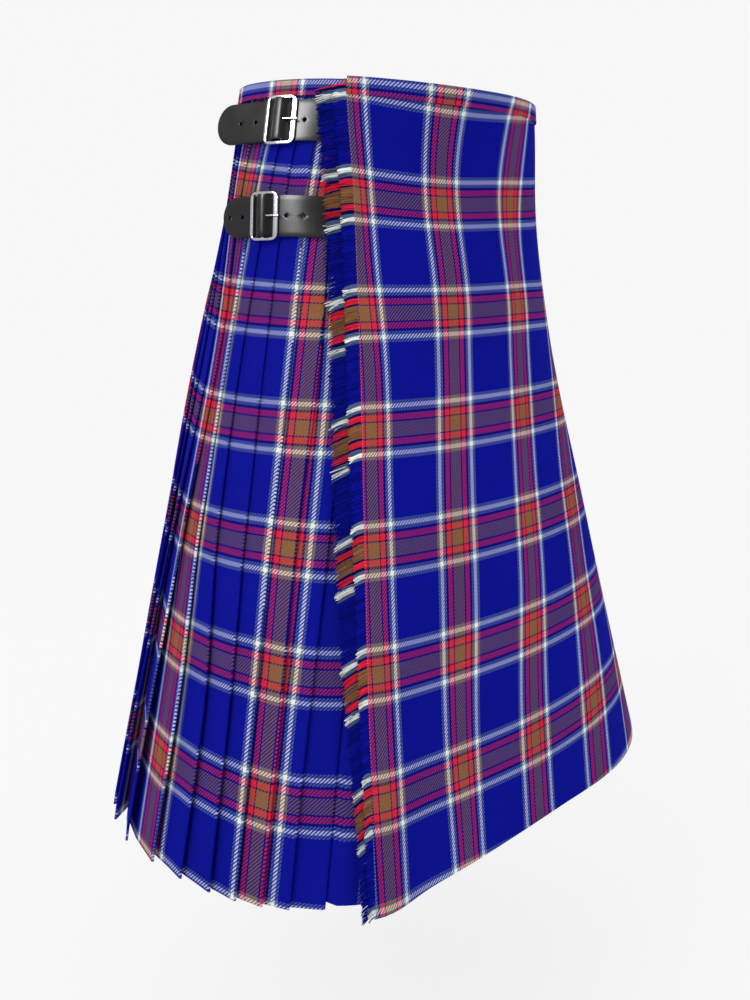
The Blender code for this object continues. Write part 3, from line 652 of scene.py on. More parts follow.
def tartan_material(settings, name, row_start=ROW_START, row_sett=ROW_SETT):
    """Two-and-two twill in the sett's colours, warp by U and weft by V, in metres of cloth."""
    material, tree, shader = principled(name, 0.82, specular=YARN_GLOSS)
    cloth = add_node(tree, "ShaderNodeUVMap", uv_map="cloth").outputs["UV"]
    split = add_node(tree, "ShaderNodeSeparateXYZ", {"Vector": cloth})
    across, down = split.outputs["X"], split.outputs["Y"]
    warp = stripe_colour(tree, across, 0.0, SETT, settings)
    weft = stripe_colour(tree, down, row_start, row_sett, settings)

    threads = [math_chain(tree, value, ("DIVIDE", settings.thread)) for value in (across, down)]
    warp_index, weft_index = [math_chain(tree, thread, ("FLOOR",)) for thread in threads]
    warp_on_top = math_chain(
        tree, warp_index, ("ADD", weft_index), ("MULTIPLY", 1 / TWILL_STEPS), ("FRACT",), ("LESS_THAN", 0.45)
    )
    share = math_chain(
        tree, warp_on_top, ("MULTIPLY", 2 * settings.twill), ("ADD", 0.5 + WARP_BIAS - settings.twill)
    )
    warp_round, weft_round = [
        math_chain(tree, thread, ("FRACT",), ("MULTIPLY", math.pi), ("SINE",)) for thread in threads
    ]
    height = mix_node(tree, warp_on_top, weft_round, warp_round, "FLOAT")
    wide = math_chain(tree, noise(tree, cloth, 9.0), ("MULTIPLY", WIDE_TONE))
    # painted shade: each thread's colour is lighter in its middle and darker at its sides, where shade falls
    # between threads
    painted_thread_shade = math_chain(tree, height, ("MULTIPLY", THREAD_SHADE))
    tone = math_chain(
        tree, noise(tree, cloth, 260.0, 3.0), ("MULTIPLY", FINE_TONE), ("ADD", wide),
        ("ADD", CLOTH_TONE - THREAD_SHADE), ("ADD", painted_thread_shade),
    )
    colour_yarn(tree, shader, mix_node(tree, share, weft, warp), tone)
    bump(tree, shader, height, 0.35, 0.2 * MM)
    return material


def yarn_material(settings, name, painted_shade):
    """Cut weft ends: each takes the colour of its own row, darkened by a painted shade on the layer that
    hangs underneath.
    """
    material, tree, shader = principled(name, 0.9, specular=YARN_GLOSS)
    row, tint = [
        add_node(tree, "ShaderNodeAttribute", attribute_name=key, attribute_type="GEOMETRY").outputs["Fac"]
        for key in ("row", "tint")
    ]
    colour = stripe_colour(tree, row, ROW_START, ROW_SETT, settings)
    colour_yarn(tree, shader, colour, math_chain(tree, tint, ("MULTIPLY", painted_shade)))
    return material


def leather_material(settings):
    """Smooth black leather with a fine grain, worn a little paler here and there."""
    material, tree, shader = principled("black_leather", 0.28, specular=0.15)
    spot = object_spot(tree)
    wear = noise(tree, spot, 45.0, 3.0)
    two_tone(tree, shader, wear, settings.leather, [value * 2.0 + 0.002 for value in settings.leather])
    feed(tree, shader.inputs["Roughness"], math_chain(tree, wear, ("MULTIPLY_ADD", 0.16, 0.28)))
    cells = add_node(
        tree, "ShaderNodeTexVoronoi", {"Vector": spot, "Scale": 1100.0}, feature="DISTANCE_TO_EDGE"
    )
    creases = math_chain(tree, cells.outputs["Distance"], ("MULTIPLY", 1.2), ("MINIMUM", 1.0))
    height = math_chain(tree, creases, ("ADD", noise(tree, spot, 420.0, 4.0)))
    bump(tree, shader, height, 0.18, 0.15 * MM)
    return material


def chrome_material(settings, name, roughness):
    """Chrome plate, faintly uneven where it was polished."""
    material, tree, shader = principled(name, roughness, metallic=1.0)
    haze = noise(tree, object_spot(tree), 90.0, 4.0)
    two_tone(tree, shader, haze, [value * 0.9 for value in settings.metal], settings.metal)
    rough = math_chain(tree, haze, ("MULTIPLY_ADD", 0.10, roughness - 0.04))
    feed(tree, shader.inputs["Roughness"], rough)
    bump(tree, shader, haze, 0.05, 0.2 * MM)
    return material


def thread_material(name, colour):
    """Sewing thread, twisted along its length."""
    material, tree, shader = principled(name, 0.7)
    twist = noise(tree, object_spot(tree), 900.0)
    two_tone(tree, shader, twist, [value * 0.7 for value in colour], colour)
    return material


# ---------------- what a user may change
def number_setting(name, description, default, **more):
    return FloatProperty(name=name, description=description, default=default, **more)


def length_setting(name, description, default):
    return number_setting(name, description, default, unit="LENGTH", precision=5)


def colour_setting(name, description, default):
    return FloatVectorProperty(name=name, description=description, default=default, subtype="COLOR")


class ClothSettings(PropertyGroup):
    """The tartan. Colours are yarn colours as they look, before they mix in the weave."""

    thread: length_setting("Thread", "Pitch of the threads", 0.0008)
    twill: number_setting("Twill", "How far the upper yarn outweighs the lower", 0.33)
    blue: colour_setting("Blue", "Ground yarn", (0.045, 0.072, 0.575))
    navy: colour_setting("Navy", "Guard lines", (0.045, 0.040, 0.36))
    red: colour_setting("Red", "Red stripes", (0.885, 0.155, 0.24))
    brown: colour_setting("Brown", "Middle stripe", (0.55, 0.375, 0.255))
    pale: colour_setting("Pale", "Beside white", (0.36, 0.43, 0.57))
    white: colour_setting("White", "White lines", (0.94, 0.955, 0.94))


class FringeSettings(PropertyGroup):
    """The frayed edge of the over apron."""

    strands: IntProperty(name="Strands", description="Yarn ends in each layer", default=1500)
    outer_length: length_setting("Outer length", "Free yarn of the upper layer", 0.0108)
    under_length: length_setting("Under length", "Free yarn of the lower layer", 0.0225)
    radius: length_setting("Yarn", "Radius of a yarn end", 0.00042)
    droop_top: number_setting("Droop at the waist", "How far the ends hang", 0.20, subtype="ANGLE")
    droop_hem: number_setting("Droop at the hem", "How far the ends hang", 0.52, subtype="ANGLE")


class FittingSettings(PropertyGroup):
    """Straps and buckles."""

    strap_width: length_setting("Strap", "Width of the straps", 0.03175)
    leather: colour_setting("Leather", "Leather colour", (0.0025, 0.0025, 0.0035))
    metal: colour_setting("Metal", "Buckle colour", (0.44, 0.44, 0.46))
    stitch: length_setting("Stitch", "Length of a stitch", 0.0022)


class StageSettings(PropertyGroup):
    """Floor, light and camera."""

    floor: colour_setting("Floor", "Floor colour", (0.20, 0.20, 0.20))
    glow: number_setting("Glow", "The floor's own soft light", 0.74)
    drop: length_setting("Drop", "Floor below the hem", 0.30)
    key: number_setting("Key light", "Strength of the main light", 11.0)
    sheen: number_setting("Sheen light", "Light that only gloss picks up", 150.0)
    fill: number_setting("Fill light", "Strength of the second light", 3.0)
    world: number_setting("Room light", "Strength of the light all round", 0.92)


# ---------------- cloth pieces
def rows_down(rows, end=LENGTH):
    """Distances down the cloth, from just under the waistband's crown."""
    return [CLOTH_TOP + (end - CLOTH_TOP) * k / rows for k in range(rows + 1)]


def make_cloth(context, name, node, section, alongs, rise, row):
    tartan = bpy.data.materials.get("tartan") or tartan_material(context.scene.kilt_cloth, "tartan")
    piece = sheet_from_sections(name, alongs, section, rise, row)
    finish_piece(piece, tartan, node)
    return {"FINISHED"}


class KILT_OT_over_apron(Operator):
    """Make the over apron"""

    bl_idname = "kilt.over_apron"
    bl_label = "Over apron"

    def execute(self, context):
        return make_cloth(
            context, "over_apron_cloth", "over_apron",
            over_section, rows_down(APRON_ROWS), HEM_RISE, cloth_row,
        )


class KILT_OT_under_apron(Operator):
    """Make the under apron"""

    bl_idname = "kilt.under_apron"
    bl_label = "Under apron"

    def execute(self, context):
        return make_cloth(
            context, "under_apron_cloth", "under_apron",
            under_section, rows_down(APRON_ROWS, LENGTH - UNDER_SHORT), HEM_RISE, pleat_row,
        )


class KILT_OT_pleats(Operator):
    """Make the pleated back"""

    bl_idname = "kilt.pleats"
    bl_label = "Pleats"

    def execute(self, context):
        return make_cloth(
            context, "pleated_cloth", "pleated_back",
            pleat_section, rows_down(PLEAT_ROWS), 0.0, pleat_row,
        )


class KILT_OT_waistband(Operator):
    """Make the waistband"""

    bl_idname = "kilt.waistband"
    bl_label = "Waistband"

    def execute(self, context):
        start = BAND_WHITE + WHITE_LINE * SETT
        cloth = tartan_material(context.scene.kilt_cloth, "band_tartan", start, SETT)
        top = Level(CLOTH_TOP)
        end = 360 + edge_angle(BAND_DEPTH) - BAND_SHORT
        sections, marks = [], []
        for k in range(BAND_STEPS + 1):
            degrees = UNDER_EDGE + (end - UNDER_EDGE) * k / BAND_STEPS
            at = top.around(degrees)
            if degrees > LAST_FOLD:
                marks.append(apron_stripe(top, top.turn + top.edge - at))
            else:
                marks.append((BAND_BROWN - at) * BAND_CROWD)
            sections.append(band_section(degrees))
        points = np.array(sections).transpose(1, 0, 2)[::-1]
        depth = path_lengths(points[:, 0])
        crown = depth[-6] - BAND_CROWN
        downs = np.repeat(np.abs(depth - crown)[:, None], len(marks), axis=1)
        grid = np.broadcast_to(np.array(marks)[None, :, None], (*points.shape[:2], 2))
        band = sheet_mesh("waistband_cloth", points, grid, downs)
        finish_piece(band, cloth, "waistband")
        return {"FINISHED"}


# ---------------- fringe and stitches
FRINGE_POINTS = 7
STRAND_WIDTHS = (1.0, 1.0, 1.05, 1.1, 1.1, 1.0)     # the tip's own width follows
WHITE_FROM, WHITE_TO = 0.1765, 0.2265               # the white yarns, from the middle of a band
TUFT_PITCH = 0.0105
YARN_SHIFT = 0.3 * MM                               # how far a yarn lies from its even place
REACH_SPREAD, TUFT_REACH, WHITE_REACH = 0.05, 0.06, 0.05
DROOP_SPREAD, WHITE_SPREAD = 0.03, 0.04
CURL, WHITE_CURL = 0.4, 0.5                         # in millimetres, as is the next one
SIDE_SPREAD = 0.35
BULGE = 1.3 * MM                                    # yarns arch off the cloth by a quarter of this
TINT_SPREAD, TUFT_TINT = 0.16, 0.05
# How much of its full length the fringe has, down the edge.
FRINGE_ALONGS = (0.0, 0.25, 0.45, 0.56, 0.645)
FRINGE_LAYERS = (
    {
        "name": "fringe_upper_yarn", "node": "fringe_outer", "slot": "fringe_yarn", "seed": 11,
        "length": "outer_length", "shares": (1.0, 1.0, 0.66, 0.55, 0.50),
        "out": OVER_OUT + 0.3 * MM, "inset": 1.0 * MM, "late": 0.0, "painted_shade": 1.0,
    },
    {
        "name": "fringe_lower_yarn", "node": "fringe_under", "slot": "fringe_back", "seed": 23,
        "length": "under_length", "shares": (1.0, 1.0, 0.80, 0.52, 0.40),
        # the lower layer's painted shade: its yarns are painted darker where they hang under the upper layer
        "out": -0.95 * MM, "inset": 0.4 * MM, "late": 8.0 * MM, "painted_shade": 0.94,
    },
)


def strand_tree(name, material):
    """Geometry nodes that give each drawn line the thickness of a yarn, thin at its tip."""
    tree = bpy.data.node_groups.new(name, "GeometryNodeTree")
    tree.interface.new_socket("Geometry", in_out="INPUT", socket_type="NodeSocketGeometry")
    tree.interface.new_socket("Radius", in_out="INPUT", socket_type="NodeSocketFloat")
    tree.interface.new_socket("Geometry", in_out="OUTPUT", socket_type="NodeSocketGeometry")
    start = add_node(tree, "NodeGroupInput")
    width = add_node(tree, "GeometryNodeInputNamedAttribute", data_type="FLOAT", inputs={"Name": "width"})
    radius = math_chain(tree, width.outputs["Attribute"], ("MULTIPLY", start.outputs["Radius"]))
    circle = add_node(tree, "GeometryNodeCurvePrimitiveCircle", {"Resolution": 4, "Radius": 1.0})
    flow = start.outputs["Geometry"]
    for kind, socket, inputs in (
        ("GeometryNodeMeshToCurve", "Mesh", {}),
        ("GeometryNodeSetCurveRadius", "Curve", {"Radius": radius}),
        ("GeometryNodeCurveToMesh", "Curve", {
            "Profile Curve": circle.outputs["Curve"], "Scale": radius, "Fill Caps": True,
        }),
        ("GeometryNodeRealizeInstances", "Geometry", {}),
        ("GeometryNodeSetMaterial", "Geometry", {"Material": material}),
    ):
        flow = add_node(tree, kind, {socket: flow, **inputs}).outputs[0]
    add_node(tree, "NodeGroupOutput", {"Geometry": flow})
    return tree


def swept_lines(name, lines, material, radius, **values):
    """Make yarns or stitches from drawn lines (lines x points x 3) and the values of their points."""
    lines = np.array(lines)
    count, points = lines.shape[:2]
    index = np.arange(count * points).reshape(count, points)
    edges = np.stack([index[:, :-1], index[:, 1:]], axis=-1).reshape(-1, 2)
    mesh = bpy.data.meshes.new(name)
    mesh.from_pydata(lines.reshape(-1, 3).tolist(), edges.tolist(), [])
    for key, data in values.items():
        data = np.broadcast_to(np.array(data, np.float32), (count, points))
        attribute = mesh.attributes.new(key, "FLOAT", "POINT")
        attribute.data.foreach_set("value", np.ascontiguousarray(data).reshape(-1))
    obj = link(name + "_lines", mesh)
    tree = strand_tree(name + "_sweep", material)
    sweep = add_modifier(obj, "sweep", "NODES", node_group=tree)
    socket = next(item for item in tree.interface.items_tree if item.name == "Radius")
    sweep[socket.identifier] = radius
    piece = plain_mesh(obj, name)
    piece.data.shade_smooth()
    return piece


def fringe_lines(settings, layer):
    """One layer's yarn ends: centre lines, the cloth rows that they come from, tints and widths."""
    random = np.random.default_rng(layer["seed"])
    count, full = settings.strands, getattr(settings, layer["length"])
    alongs = np.linspace(0.006, LENGTH - 0.002, count) + random.uniform(-YARN_SHIFT, YARN_SHIFT, count)
    alongs = np.clip(alongs, 0.004, LENGTH - 0.001)
    tufts = 0.5 + 0.5 * np.sin(alongs * 2 * math.pi / TUFT_PITCH + 0.8 * np.sin(alongs * 90.0))
    t = np.linspace(0.0, 1.0, FRINGE_POINTS)
    lines, rows, tints, widths = [], [], [], []
    for along, tuft in zip(alongs, tufts):
        level = Level(along)
        hang = ease(along / LENGTH, 0.1, 1.0)
        droop = settings.droop_top + (settings.droop_hem - settings.droop_top) * hang
        droop *= 1 + 0.10 * math.sin(along * 61.0 + layer["seed"])
        row = cloth_row(level.angle(level.edge), along)
        row -= layer["late"] * ease(along, 0.0, 0.22)
        off = abs(((row - ROW_START) / ROW_SETT + 0.5) % 1.0 - 0.5)
        white = float(WHITE_FROM < off < WHITE_TO)
        reach = full * smooth(along, FRINGE_ALONGS, layer["shares"])
        reach *= 1 + REACH_SPREAD * random.standard_normal() - TUFT_REACH * tuft + WHITE_REACH * white
        droop += (DROOP_SPREAD + WHITE_SPREAD * white) * random.standard_normal()
        phase = random.uniform(0, 2 * math.pi)
        side = random.uniform(-SIDE_SPREAD, SIDE_SPREAD) * MM
        wave = (CURL + WHITE_CURL * white) * MM * t * np.sin(phase + 5.0 * t)
        ahead = reach * t * np.cos(droop * (0.35 + 0.45 * t)) - layer["inset"]
        down = reach * t * np.sin(0.85 * droop * (0.35 + 0.9 * t)) + 0.35 * wave
        out = layer["out"] + side * t + 0.5 * wave + BULGE * t * (1 - t)
        below = np.minimum(along + down, LENGTH + 0.012)
        turn = np.radians(edge_angle(below)) - np.radians(edge_angle(along))
        out += apron_flare(level, level.edge)
        lines.append(place(level.angle(level.edge + ahead) + turn, below, out))
        rows.append([row])
        tints.append([0.86 + TINT_SPREAD * random.random() + TUFT_TINT * (tuft - 0.5)])
        widths.append([*STRAND_WIDTHS, 0.7 + 0.2 * white])
    return lines, rows, tints, widths


class KILT_OT_fringe(Operator):
    """Make both layers of the fringe"""

    bl_idname = "kilt.fringe"
    bl_label = "Fringe"

    def execute(self, context):
        settings = context.scene.kilt_fringe
        for layer in FRINGE_LAYERS:
            yarn = yarn_material(context.scene.kilt_cloth, "yarn_" + layer["node"], layer["painted_shade"])
            lines, row, tint, width = fringe_lines(settings, layer)
            piece = swept_lines(layer["name"], lines, yarn, settings.radius, width=width, row=row, tint=tint)
            finish_piece(piece, yarn, layer["node"])
        return {"FINISHED"}


PALE_THREAD = (0.42, 0.42, 0.55)
BLUE_THREAD = (0.012, 0.012, 0.16)
ROOT_STITCH = (0.8 * MM, 1.6 * MM, 0.12 * MM, 0.13 * MM)     # length, gap, height and radius
BAND_STITCH = (0.9 * MM, 0.10 * MM, 0.15 * MM)               # the same without the length
ROOT_INSET = 1.6 * MM
BAND_INSET = 1.3 * MM
BAND_SEAM = (66.0, 420.0)


def stitch_piece(name, spots, size, material):
    """A seam's stitches, along a line of (angle, distance down, height off the surface)."""
    angle, along, out = np.array(spots).T
    long, gap, lift, radius = size
    points = place(angle, along, out)
    normals = (place(angle, along, out + MM) - points) / MM
    lengths = path_lengths(points)
    lines, at = [], 0.0
    while at + long < lengths[-1]:
        marks = at + long * np.array([0.0, 0.25, 0.75, 1.0])
        spot, away = [
            np.stack([np.interp(marks, lengths, values[:, k]) for k in range(3)], axis=1)
            for values in (points, normals)
        ]
        lines.append(spot + away * np.array([-0.5, 1.0, 1.0, -0.5])[:, None] * lift)
        at += long + gap
    finish_piece(swept_lines(name, lines, material, radius, width=1.0), material)


class KILT_OT_stitches(Operator):
    """Make the stitched lines of the fringe's root and the waistband"""

    bl_idname = "kilt.stitches"
    bl_label = "Stitches"

    def execute(self, context):
        pale = thread_material("pale_thread", PALE_THREAD)
        spots = []
        for along in np.linspace(0.016, LENGTH - 0.004, 260):
            level = Level(along)
            at = level.edge - ROOT_INSET
            out = OVER_OUT + CLOTH / 2 + apron_flare(level, at)
            spots.append((level.angle(at), along, out))
        stitch_piece("fringe_root_stitches", spots, ROOT_STITCH, pale)

        blue = thread_material("blue_thread", BLUE_THREAD)
        spots = [
            (math.radians(degrees), BAND_DEPTH - BAND_INSET, band_leg(degrees, "outer") + CLOTH / 2)
            for degrees in np.arange(*BAND_SEAM, 0.5)
        ]
        size = (context.scene.kilt_fittings.stitch, *BAND_STITCH)
        stitch_piece("waistband_stitches", spots, size, blue)
        return {"FINISHED"}


# ---------------- straps and buckles
FITTINGS = (
    {"name": "upper", "along": 0.0330, "angle": 77.7, "tip": 0.065},
    {"name": "lower", "along": 0.1068, "angle": 81.0, "tip": 0.048},
)
STRAP_THICK = 1.6 * MM
STRAP_TUCK = 0.030
STRAP_EASE = 0.35 * MM
TIP_TURN = 87.0                     # a strap's round tip is drawn this far, in degrees
HOLE_PITCH = 15.0 * MM
HOLE_RADIUS = 1.7 * MM
HOLE_PLACES = (2, 1, -2, -3)        # counted from the one that the prong is in
HOLE_LAND = 6.0 * MM
FRAME_WIDTH = 27.0 * MM
FRAME_HEIGHT = 38.0 * MM
FRAME_THICK = 2.0 * MM
FRAME_RAIL = 2.5 * MM
FRAME_ROUND = 0.9 * MM
FRAME_CORNERS = (5.0 * MM, 2.2 * MM)
FRONT_BAR = 4.2 * MM
BACK_BAR = 3.0 * MM
CENTRE_BAR = 3.0 * MM
FRAME_Z = 3.85 * MM
FRAME_TILT = -0.055
TAB_WIDTH = 24.0 * MM
TAB_THICK = 1.0 * MM
TAB_EASE = 0.2 * MM
PRONG_RADIUS = 0.8 * MM
PRONG_AIR = 0.5 * MM
TAIL_FROM = -11.0 * MM              # a strap's tail runs straight from here back
NO_TAIL = -0.1                      # nothing of the other pieces lies as far back as this
TAIL_SENSE = 2.0 * MM
LEATHER_CREASE = 50.0
METAL_CREASE = 60.0

# Side views: x and z in millimetres of a sheet's or wire's middle.
STRAP_PATH = (
    (15.5, 1.1), (8.6, 1.15), (6.8, 2.2), (5.1, 4.6), (3.4, 6.8), (1.8, 7.8), (0.0, 8.0), (-1.8, 7.8),
    (-3.9, 6.2), (-6.0, 4.0), (-7.8, 2.7), (-9.3, 2.4), (-16.0, 2.4),
)
TAB_PATH = (
    (-26.0, 0.8), (-12.0, 0.8), (0.5, 0.8), (2.4, 1.3), (3.3, 2.6), (3.4, 3.9), (2.6, 5.1), (1.3, 5.7),
    (-1.2, 5.75), (-3.4, 4.3), (-4.8, 2.9), (-5.3, 2.3),
)
PRONG_PATH = ((3.0, 5.85), (8.6, 5.45), (12.6, 5.2), (14.8, 5.0))

# Cut-outs: middle, length and radius of the slot, and the heights that it is cut between.
PRONG_SLOT = (5.3 * MM, 3.8 * MM, 1.4 * MM, 1.5 * MM, 9.0 * MM)
TAB_SLOT = (0.4 * MM, 9.0 * MM, 1.5 * MM, -1.0 * MM, 8.0 * MM)
HOLE_CUT = (-2.0 * MM, 6.0 * MM)


def wrap(mesh, along, degrees, straight_from):
    """Lay a piece that was modelled flat onto the cloth; from straight_from back it runs on straight.

    Flat, x is to the wearer's front, y up and z off the cloth.
    """
    level = Level(along)
    centre = level.around(degrees)
    ground = CREST_OUT + CLOTH / 2 + STRAP_AIR
    flat = np.empty(len(mesh.vertices) * 3, np.float32)
    mesh.vertices.foreach_get("co", flat)
    x, y, z = flat.reshape(-1, 3).astype(float).T
    points = place(level.angle(centre - np.maximum(x, straight_from)), along - y, ground + z)
    ends = [level.angle(centre - straight_from + side * TAIL_SENSE) for side in (-1, 1)]
    before, after = [place(np.full_like(y, end), along - y, ground + z) for end in ends]
    ahead = (after - before) / np.linalg.norm(after - before, axis=1, keepdims=True)
    points += ahead * np.maximum(straight_from - x, 0.0)[:, None]
    mesh.vertices.foreach_set("co", points.astype(np.float32).reshape(-1))
    mesh.update()


def finish_fitting(piece, fitting, material, node, crease, straight_from=NO_TAIL):
    """Wrap a fitting's piece onto the cloth and finish it."""
    wrap(piece.data, fitting["along"], fitting["angle"], straight_from)
    piece.data.shade_smooth()
    piece.data.set_sharp_from_angle(angle=math.radians(crease))
    finish_piece(piece, material, node + fitting["name"])


def rounded_path(path, steps=4):
    """A smoother version of a path of (x, z) points that is given in millimetres."""
    path = np.array([(x * MM, z * MM) for x, z in path])
    marks = path_lengths(path)
    fine = [np.linspace(start, end, steps, endpoint=False) for start, end in zip(marks, marks[1:])]
    fine = np.concatenate([*fine, marks[-1:]])
    return [(smooth(m, marks, path[:, 0]), smooth(m, marks, path[:, 1])) for m in fine]


def flat_strip(name, path, half_widths, thickness, across=8):
    """A strip of leather from its side view and its half widths, still unwrapped."""
    verts, faces = [], []
    for row, ((x, z), half) in enumerate(zip(path, half_widths)):
        verts += [(x, half * (1 - 2 * k / across), z) for k in range(across + 1)]
        if row:
            last = row * (across + 1) - across - 1
            faces += [(a, a + 1, a + across + 2, a + across + 1) for a in range(last, last + across)]
    mesh = bpy.data.meshes.new(name)
    mesh.from_pydata(verts, [], faces)
    obj = link(name + "_flat", mesh)
    add_wall(obj, thickness)
    return obj


def punch(middle, long, radius, low, high):
    """The cutter of a hole: a round one, drawn out along x where it is a slot."""
    mesh = bpy.data.meshes.new("punch")
    build = bmesh.new()
    made = bmesh.ops.create_cone(
        build, cap_ends=True, segments=28, radius1=radius, radius2=radius, depth=high - low
    )
    for vertex in made["verts"]:
        vertex.co.x += middle + math.copysign(long / 2 - radius, vertex.co.x)
        vertex.co.z += (low + high) / 2
    build.to_mesh(mesh)
    build.free()
    return link("punch", mesh)


def punched(obj, cuts, name, edge):
    """Cut the holes, ease the edges, and return the plain piece."""
    cutters = [punch(*cut) for cut in cuts]
    for cutter in cutters:
        add_modifier(obj, "cut", "BOOLEAN", object=cutter, operation="DIFFERENCE")
    limit = math.radians(50)
    add_modifier(obj, "edges", "BEVEL", width=edge, segments=2, limit_method="ANGLE", angle_limit=limit)
    piece = plain_mesh(obj, name)
    for cutter in cutters:
        bpy.data.objects.remove(cutter)
    return piece


def make_strap(settings, fitting, leather):
    level = Level(fitting["along"])
    front = level.around(fitting["angle"]) - level.edge + STRAP_TUCK
    half = settings.strap_width / 2
    middle = rounded_path(STRAP_PATH)
    (near, flat), (far, tail) = middle[0], middle[-1]
    path = [(front - (front - near) * k / 14, flat) for k in range(14)] + middle
    bow = half - fitting["tip"]
    path += [(far + (bow - far) * k / 6, tail) for k in range(1, 6)]
    widths = [half] * len(path)
    for turn in np.radians(np.linspace(0.0, TIP_TURN, 17)):
        path.append((bow - half * math.sin(turn), tail))
        widths.append(half * math.cos(turn))
    name = "strap_leather_" + fitting["name"]
    obj = flat_strip(name, path[::-1], widths[::-1], STRAP_THICK)
    places = [PRONG_SLOT[0] + pitches * HOLE_PITCH for pitches in HOLE_PLACES]
    holes = [
        (x, 2 * HOLE_RADIUS, HOLE_RADIUS, *HOLE_CUT)
        for x in places if x - HOLE_RADIUS > HOLE_LAND - fitting["tip"]
    ]
    piece = punched(obj, [PRONG_SLOT, *holes], name, STRAP_EASE)
    finish_fitting(piece, fitting, leather, "strap_", LEATHER_CREASE, TAIL_FROM)


def make_tab(fitting, leather):
    name = "tab_leather_" + fitting["name"]
    path = rounded_path(TAB_PATH, 3)
    obj = flat_strip(name, path, [TAB_WIDTH / 2] * len(path), TAB_THICK)
    piece = punched(obj, [TAB_SLOT], name, TAB_EASE)
    finish_fitting(piece, fitting, leather, "tab_", LEATHER_CREASE)


def add_line(curve, points, closed):
    spline = assign(curve.splines.new("POLY"), use_cyclic_u=closed)
    spline.points.add(len(points) - 1)
    for point, spot in zip(spline.points, points):
        point.co = (*spot, 1.0)


def outline(curve, left, right, half_height, radius):
    """Add a closed outline with rounded corners to a flat curve."""
    points = []
    for k, (x, y) in enumerate((
        (right, half_height), (left, half_height), (left, -half_height), (right, -half_height),
    )):
        centre_x = x - math.copysign(radius, x - (left + right) / 2)
        centre_y = y - math.copysign(radius, y)
        for turn in np.radians(np.linspace(90.0 * k, 90.0 * k + 90.0, 9)):
            points.append((centre_x + radius * math.cos(turn), centre_y + radius * math.sin(turn), 0.0))
    add_line(curve, points, True)


def curve_piece(curve, name):
    """A curve's closed mesh, as an object."""
    piece = plain_mesh(link(name + "_curve", curve), name)
    build = bmesh.new()
    build.from_mesh(piece.data)
    bmesh.ops.remove_doubles(build, verts=build.verts, dist=0.02 * MM)
    bmesh.ops.recalc_face_normals(build, faces=build.faces)
    build.to_mesh(piece.data)
    build.free()
    return piece


def make_buckle(fitting, metal):
    """Frame with a centre bar; its sides are rounded over."""
    name = "buckle_frame_" + fitting["name"]
    curve = assign(
        bpy.data.curves.new(name, "CURVE"), dimensions="2D", fill_mode="BOTH",
        bevel_depth=FRAME_ROUND, bevel_resolution=4, extrude=FRAME_THICK / 2 - FRAME_ROUND,
    )
    half_w, half_h = FRAME_WIDTH / 2 - FRAME_ROUND, FRAME_HEIGHT / 2 - FRAME_ROUND
    rail, bar = FRAME_RAIL - 2 * FRAME_ROUND, CENTRE_BAR / 2 - FRAME_ROUND
    outer, inner = FRAME_CORNERS
    outline(curve, -half_w, half_w, half_h, outer)
    outline(curve, bar, half_w - FRONT_BAR + 2 * FRAME_ROUND, half_h - rail, inner)
    outline(curve, -half_w + BACK_BAR - 2 * FRAME_ROUND, -bar, half_h - rail, inner)
    piece = curve_piece(curve, name)
    for vertex in piece.data.vertices:
        vertex.co.z += FRAME_Z + FRAME_TILT * vertex.co.x
    finish_fitting(piece, fitting, metal, "buckle_", METAL_CREASE)


def make_prong(fitting, metal):
    """Round wire: a ring round the centre bar, then straight onto the front bar."""
    name = "prong_wire_" + fitting["name"]
    curve = assign(
        bpy.data.curves.new(name, "CURVE"), dimensions="3D", use_fill_caps=True,
        bevel_depth=PRONG_RADIUS, bevel_resolution=4,
    )
    reach_x = CENTRE_BAR / 2 + PRONG_AIR + PRONG_RADIUS
    reach_z = FRAME_THICK / 2 + PRONG_AIR + PRONG_RADIUS
    turns = np.radians(np.linspace(-30.0, -270.0, 13))
    path = [(reach_x * math.cos(turn), FRAME_Z + reach_z * math.sin(turn)) for turn in turns]
    path += rounded_path(PRONG_PATH)
    add_line(curve, [(x, 0.0, z) for x, z in path], False)
    finish_fitting(curve_piece(curve, name), fitting, metal, "prong_", METAL_CREASE)


class KILT_OT_straps(Operator):
    """Make the leather straps and the tabs that hold the buckles"""

    bl_idname = "kilt.straps"
    bl_label = "Straps"

    def execute(self, context):
        settings = context.scene.kilt_fittings
        leather = leather_material(settings)
        for fitting in FITTINGS:
            make_strap(settings, fitting, leather)
            make_tab(fitting, leather)
        return {"FINISHED"}


class KILT_OT_buckles(Operator):
    """Make the buckles and their prongs"""

    bl_idname = "kilt.buckles"
    bl_label = "Buckles"

    def execute(self, context):
        settings = context.scene.kilt_fittings
        plate = chrome_material(settings, "chrome_plate", 0.11)
        wire = chrome_material(settings, "polished_wire", 0.16)
        for fitting in FITTINGS:
            make_buckle(fitting, plate)
            make_prong(fitting, wire)
        return {"FINISHED"}


# ---------------- floor, light and camera
VIEW_ANGLE = math.radians(46.33)    # the camera's place, from the wearer's front towards the right
VIEW_DISTANCE = 0.877
VIEW_HEIGHT = -0.174
VIEW_ASIDE = 0.0075
VIEW_PITCH = 0.2184
VIEW_ROLL = 0.0115
VIEW_LENS = 0.9009                  # focal length as a share of the picture's height
SENSOR = 36.0
FLOOR_FLAT = 2.4                    # the bowl is flat up to here,
FLOOR_BEND = 1.8                    # rises with this radius,
FLOOR_TOP = 3.4                     # and ends at this height
FLOOR_SIDES = 96
LIGHT_AIM = Vector((0.0, 0.0, -0.30))
LIGHTS = (                          # name, angle, distance, height, width, depth, setting and its share
    ("key", 84.0, 1.7, 0.85, 0.8, 0.9, "key", 1.0),
    ("sheen", 83.0, 1.7, 0.80, 0.8, 0.9, "sheen", 1.0),
    ("fill", -14.0, 2.4, 0.3, 2.2, 2.0, "fill", 1.0),
    ("back", 215.0, 2.4, 0.8, 2.0, 1.6, "fill", 0.8),
)


